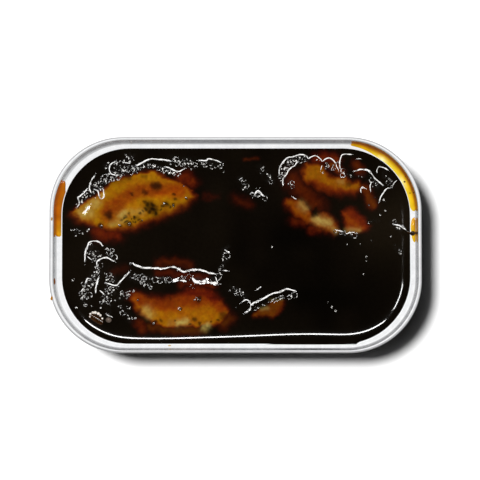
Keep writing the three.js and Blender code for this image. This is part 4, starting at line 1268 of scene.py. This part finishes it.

# ---------------------------------------------------------------- the oil on the ledge
# Clear amber oil has spilled on to the ledge and lies in its corner, against the seam's wall, as shallow
# pools with a rounded skin. Light and shade are painted into its colour. It is brown by the wall, where it is
# deeper and the wall behind it is in shade, and yellow where light comes back through it off the bright
# metal. Two painted highlights lie on the back right pool.
POOL_STEP = 0.12
POOL_ACROSS = 12
POOL_END = 0.9
POOL_SUNK = 0.06
POOLS = [
    # part, from and to round the rim, outer inset, inner inset at some distances,
    # colour across at some distances, with its light and shade painted in
    dict(name="oil_left_side", start=127.2, end=144.2, outer=1.34,
         inner=[(127.2, 2.0), (130.0, 2.9), (144.2, 2.85)],
         colours=[(127.2, [(0.3, 0.07, 0.004), (0.4, 0.1, 0.003), (0.42, 0.13, 0.006)]),
                  (138.0, [(0.26, 0.06, 0.004), (0.42, 0.095, 0.002), (0.4, 0.12, 0.006)]),
                  (143.0, [(0.3, 0.09, 0.004), (0.55, 0.22, 0.005), (0.6, 0.3, 0.01)])]),
    dict(name="oil_back_right_corner", start=10.3, end=40.2, outer=1.3,
         inner=[(10.3, 2.3), (12.0, 2.92), (31.0, 2.92), (36.0, 2.5), (40.2, 2.2)],
         colours=[(10.3, [(0.3, 0.11, 0.004), (0.64, 0.36, 0.006), (0.74, 0.5, 0.02)]),
                  (17.6, [(0.2, 0.055, 0.006), (0.62, 0.34, 0.004), (0.76, 0.54, 0.03)]),
                  # a painted highlight on the oil's inner side
                  (20.2, [(0.2, 0.055, 0.006), (0.7, 0.42, 0.01), (0.97, 0.86, 0.3)]),
                  (23.0, [(0.2, 0.055, 0.006), (0.6, 0.33, 0.004), (0.76, 0.56, 0.03)]),
                  (27.2, [(0.17, 0.05, 0.009), (0.5, 0.26, 0.004), (0.8, 0.62, 0.05)]),
                  # a painted highlight on the oil's inner side
                  (29.4, [(0.17, 0.05, 0.009), (0.6, 0.34, 0.01), (0.98, 0.9, 0.4)]),
                  (31.4, [(0.17, 0.05, 0.009), (0.42, 0.18, 0.004), (0.78, 0.58, 0.04)]),
                  (34.0, [(0.17, 0.05, 0.009), (0.36, 0.13, 0.003), (0.72, 0.44, 0.008)]),
                  (40.0, [(0.17, 0.05, 0.009), (0.42, 0.17, 0.003), (0.62, 0.34, 0.004)])]),
    dict(name="oil_right_side", start=0.9, end=8.6, outer=1.5,
         inner=[(0.9, 2.1), (2.5, 2.6), (6.0, 2.92), (8.6, 2.6)],
         colours=[(0.9, [(0.4, 0.19, 0.01), (0.62, 0.36, 0.01), (0.7, 0.45, 0.02)]),
                  (8.0, [(0.3, 0.12, 0.006), (0.55, 0.24, 0.003), (0.66, 0.36, 0.006)])]),
]


def rim_place(distance, inset):
    """The place on the lid at a distance round the seam, from the middle of its right side, and an inset."""
    half_side, long_side = HALF_WIDTH - CORNER_RADIUS, HALF_LENGTH - CORNER_RADIUS
    half_round = [CORNER_RADIUS * math.pi / 2, 2 * long_side, CORNER_RADIUS * math.pi / 2]
    legs = np.cumsum([0, half_side, *half_round, 2 * half_side, *half_round, half_side])
    distance = np.asarray(distance) % legs[-1]
    leg = np.clip(np.searchsorted(legs, distance, side="right") - 1, 0, 8)
    into = distance - legs[leg]
    quarter = (leg + 1) // 2 * (math.pi / 2)
    angle = np.where(leg % 2 == 1, quarter - math.pi / 2 + into / CORNER_RADIUS, quarter)
    held_x = np.choose(leg, [long_side, long_side, long_side - into, -long_side, -long_side, -long_side,
                             -long_side + into, long_side, long_side])
    held_y = np.choose(leg, [into, half_side, half_side, half_side, half_side - into, -half_side, -half_side,
                             -half_side, -half_side + into])
    eased, wider = inset * CORNER_EASE, inset * ENDS_WIDER
    x = held_x * (1 - (inset + wider - eased) / long_side) + np.cos(angle) * (CORNER_RADIUS - eased)
    y = held_y * (1 - (inset - wider - eased) / half_side) + np.sin(angle) * (CORNER_RADIUS - eased)
    return x + OPENING_DRIFT[0] * inset, y + OPENING_DRIFT[1] * inset


def metal_height(inset):
    """Height of the lid's upper side at an inset: the seam's crest, its wall, the fillet and the ledge."""
    over_crest = crest_centre + np.sqrt(np.clip(crest ** 2 - (inset - crest) ** 2, 0, None))
    in_fillet = fillet_at[1] - np.sqrt(np.clip(FILLET_RADIUS ** 2 - (fillet_at[0] - inset) ** 2, 0, None))
    return np.where(inset < SEAM_THICKNESS, over_crest, np.where(inset < fillet_at[0], in_fillet, ledge_top))


def across_at(distance, table):
    """A value, or a list of values, given at some distances and read between them."""
    values = np.array([value for _, value in table], float).reshape(len(table), -1)
    return np.stack([np.interp(distance, [d for d, _ in table], column) for column in values.T], -1)


amber_oil, tree, shader = new_material("amber_oil")
clouds = object_noise(tree, 420.0, 3.0)
feed(tree, shader, {"Base Color": film_paint(tree, clouds, 0.82, 1.12), "Roughness": 0.05, "IOR": 1.47})

for pool in POOLS:
    stations = int((pool["end"] - pool["start"]) / POOL_STEP)
    distance = np.linspace(pool["start"], pool["end"], stations + 1)[1:-1]
    ends = np.minimum(distance - pool["start"], pool["end"] - distance)
    fill = np.sqrt(np.clip(1 - np.clip(1 - ends / POOL_END, 0, 1) ** 2, 0.02, 1))[:, None]
    inner = across_at(distance, pool["inner"])
    middle = (pool["outer"] + inner) / 2
    share = (1 - np.cos(np.linspace(0, math.pi, POOL_ACROSS + 1))) / 2
    inset = middle + (share - 0.5) * (inner - pool["outer"]) * fill
    floor = metal_height(inset) - POOL_SUNK
    level = metal_height(middle - 0.5 * (inner - pool["outer"]) * fill)
    skin_at = np.maximum(level + (ledge_top - 0.02 - level) * share ** 3, floor + 0.02)
    skin_at = np.where(share > 0, skin_at, floor + 0.02)
    x, y = rim_place(np.repeat(distance[:, None], inset.shape[1], 1), inset)
    rings = np.concatenate([np.stack([x, y, skin_at], -1), np.stack([x, y, floor], -1)[:, ::-1]], 1)
    colours = across_at(distance, pool["colours"]).reshape(len(distance), 3, 3)
    tone = np.stack([np.stack([np.interp(share, [0.1, 0.4, 0.85], row[:, c]) for row in colours])
                     for c in range(3)], -1)
    tone = np.concatenate([tone, tone[:, ::-1]], 1).reshape(-1, 3)
    faces = ring_sides(*rings.shape[:2])
    piece = wet_piece(pool["name"] + "_pool", rings.reshape(-1, 3), faces, tone, amber_oil, 50)
    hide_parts(pool["name"])
    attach(piece, "root")

# ---------------------------------------------------------------- drops of oil and sauce on the tin
# A few drops have splashed on to the seam and the ledge and stand there as small beads, amber or nearly
# black. Each is a low closed spheroid, sunk to its middle in what it stands on.
DROP_RINGS = 5
DROP_SIDES = 16
DROPS = [
    # x, y, half length, half width, turn, height above the metal, colour
    (-50.7, -10.2, 1.1, 0.42, 93, 0.22, (0.18, 0.05, 0.004)),
    (-51.2, -14.9, 0.7, 0.36, 70, 0.2, (0.34, 0.14, 0.01)),
    (-51.3, 7.2, 0.5, 0.25, 85, 0.15, (0.4, 0.2, 0.03)),
    (49.6, 3.3, 0.75, 0.7, 10, 0.75, (0.02, 0.009, 0.003)),
    (50.6, 3.4, 0.5, 0.35, 0, 0.6, (0.05, 0.02, 0.005)),
    (48.6, 3.5, 0.6, 0.3, -12, 0.45, (0.02, 0.009, 0.003)),
    (47.4, 17.8, 0.35, 0.3, 0, 0.55, (0.03, 0.012, 0.004)),
    (48.9, 14.6, 0.3, 0.25, 0, 0.5, (0.03, 0.012, 0.004)),
    (49.9, 14.7, 0.28, 0.22, 0, 0.5, (0.05, 0.02, 0.004)),
    (47.6, 19.2, 0.3, 0.22, 40, 0.5, (0.05, 0.02, 0.004)),
    (-18.4, -28.1, 0.4, 0.22, 0, 0.1, (0.6, 0.4, 0.16)),
    (-29.2, 28.7, 0.3, 0.2, 0, 0.1, (0.3, 0.28, 0.26)),
]

beads = []
for x, y, half_length, half_width, turn, height, colour in DROPS:
    foot = float(metal_height(edge_depth(x, y, 0.0)))
    tilts = np.arange(DROP_RINGS + 1) / (DROP_RINGS + 0.5) * math.pi / 2
    outline = [(math.sin(tilt), height * math.cos(tilt)) for tilt in tilts] + [(1.0, -0.1), (0.0, -0.12)]
    c, s = math.cos(math.radians(turn)), math.sin(math.radians(turn))
    rings = []
    for reach, rise in outline:
        ring = level_ring(0, 0, foot + rise, reach * half_length, reach * half_width, DROP_SIDES)
        rings.append(ring @ np.array([[c, s, 0], [-s, c, 0], [0, 0, 1]]) + (x, y, 0))
    beads.append((closed_rings(rings[1:-1], [rings[0][0], rings[-1][0]]), colour))
drops = wet_piece("splashed_drops", *joined(beads), amber_oil, 70)
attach(drops, "root")
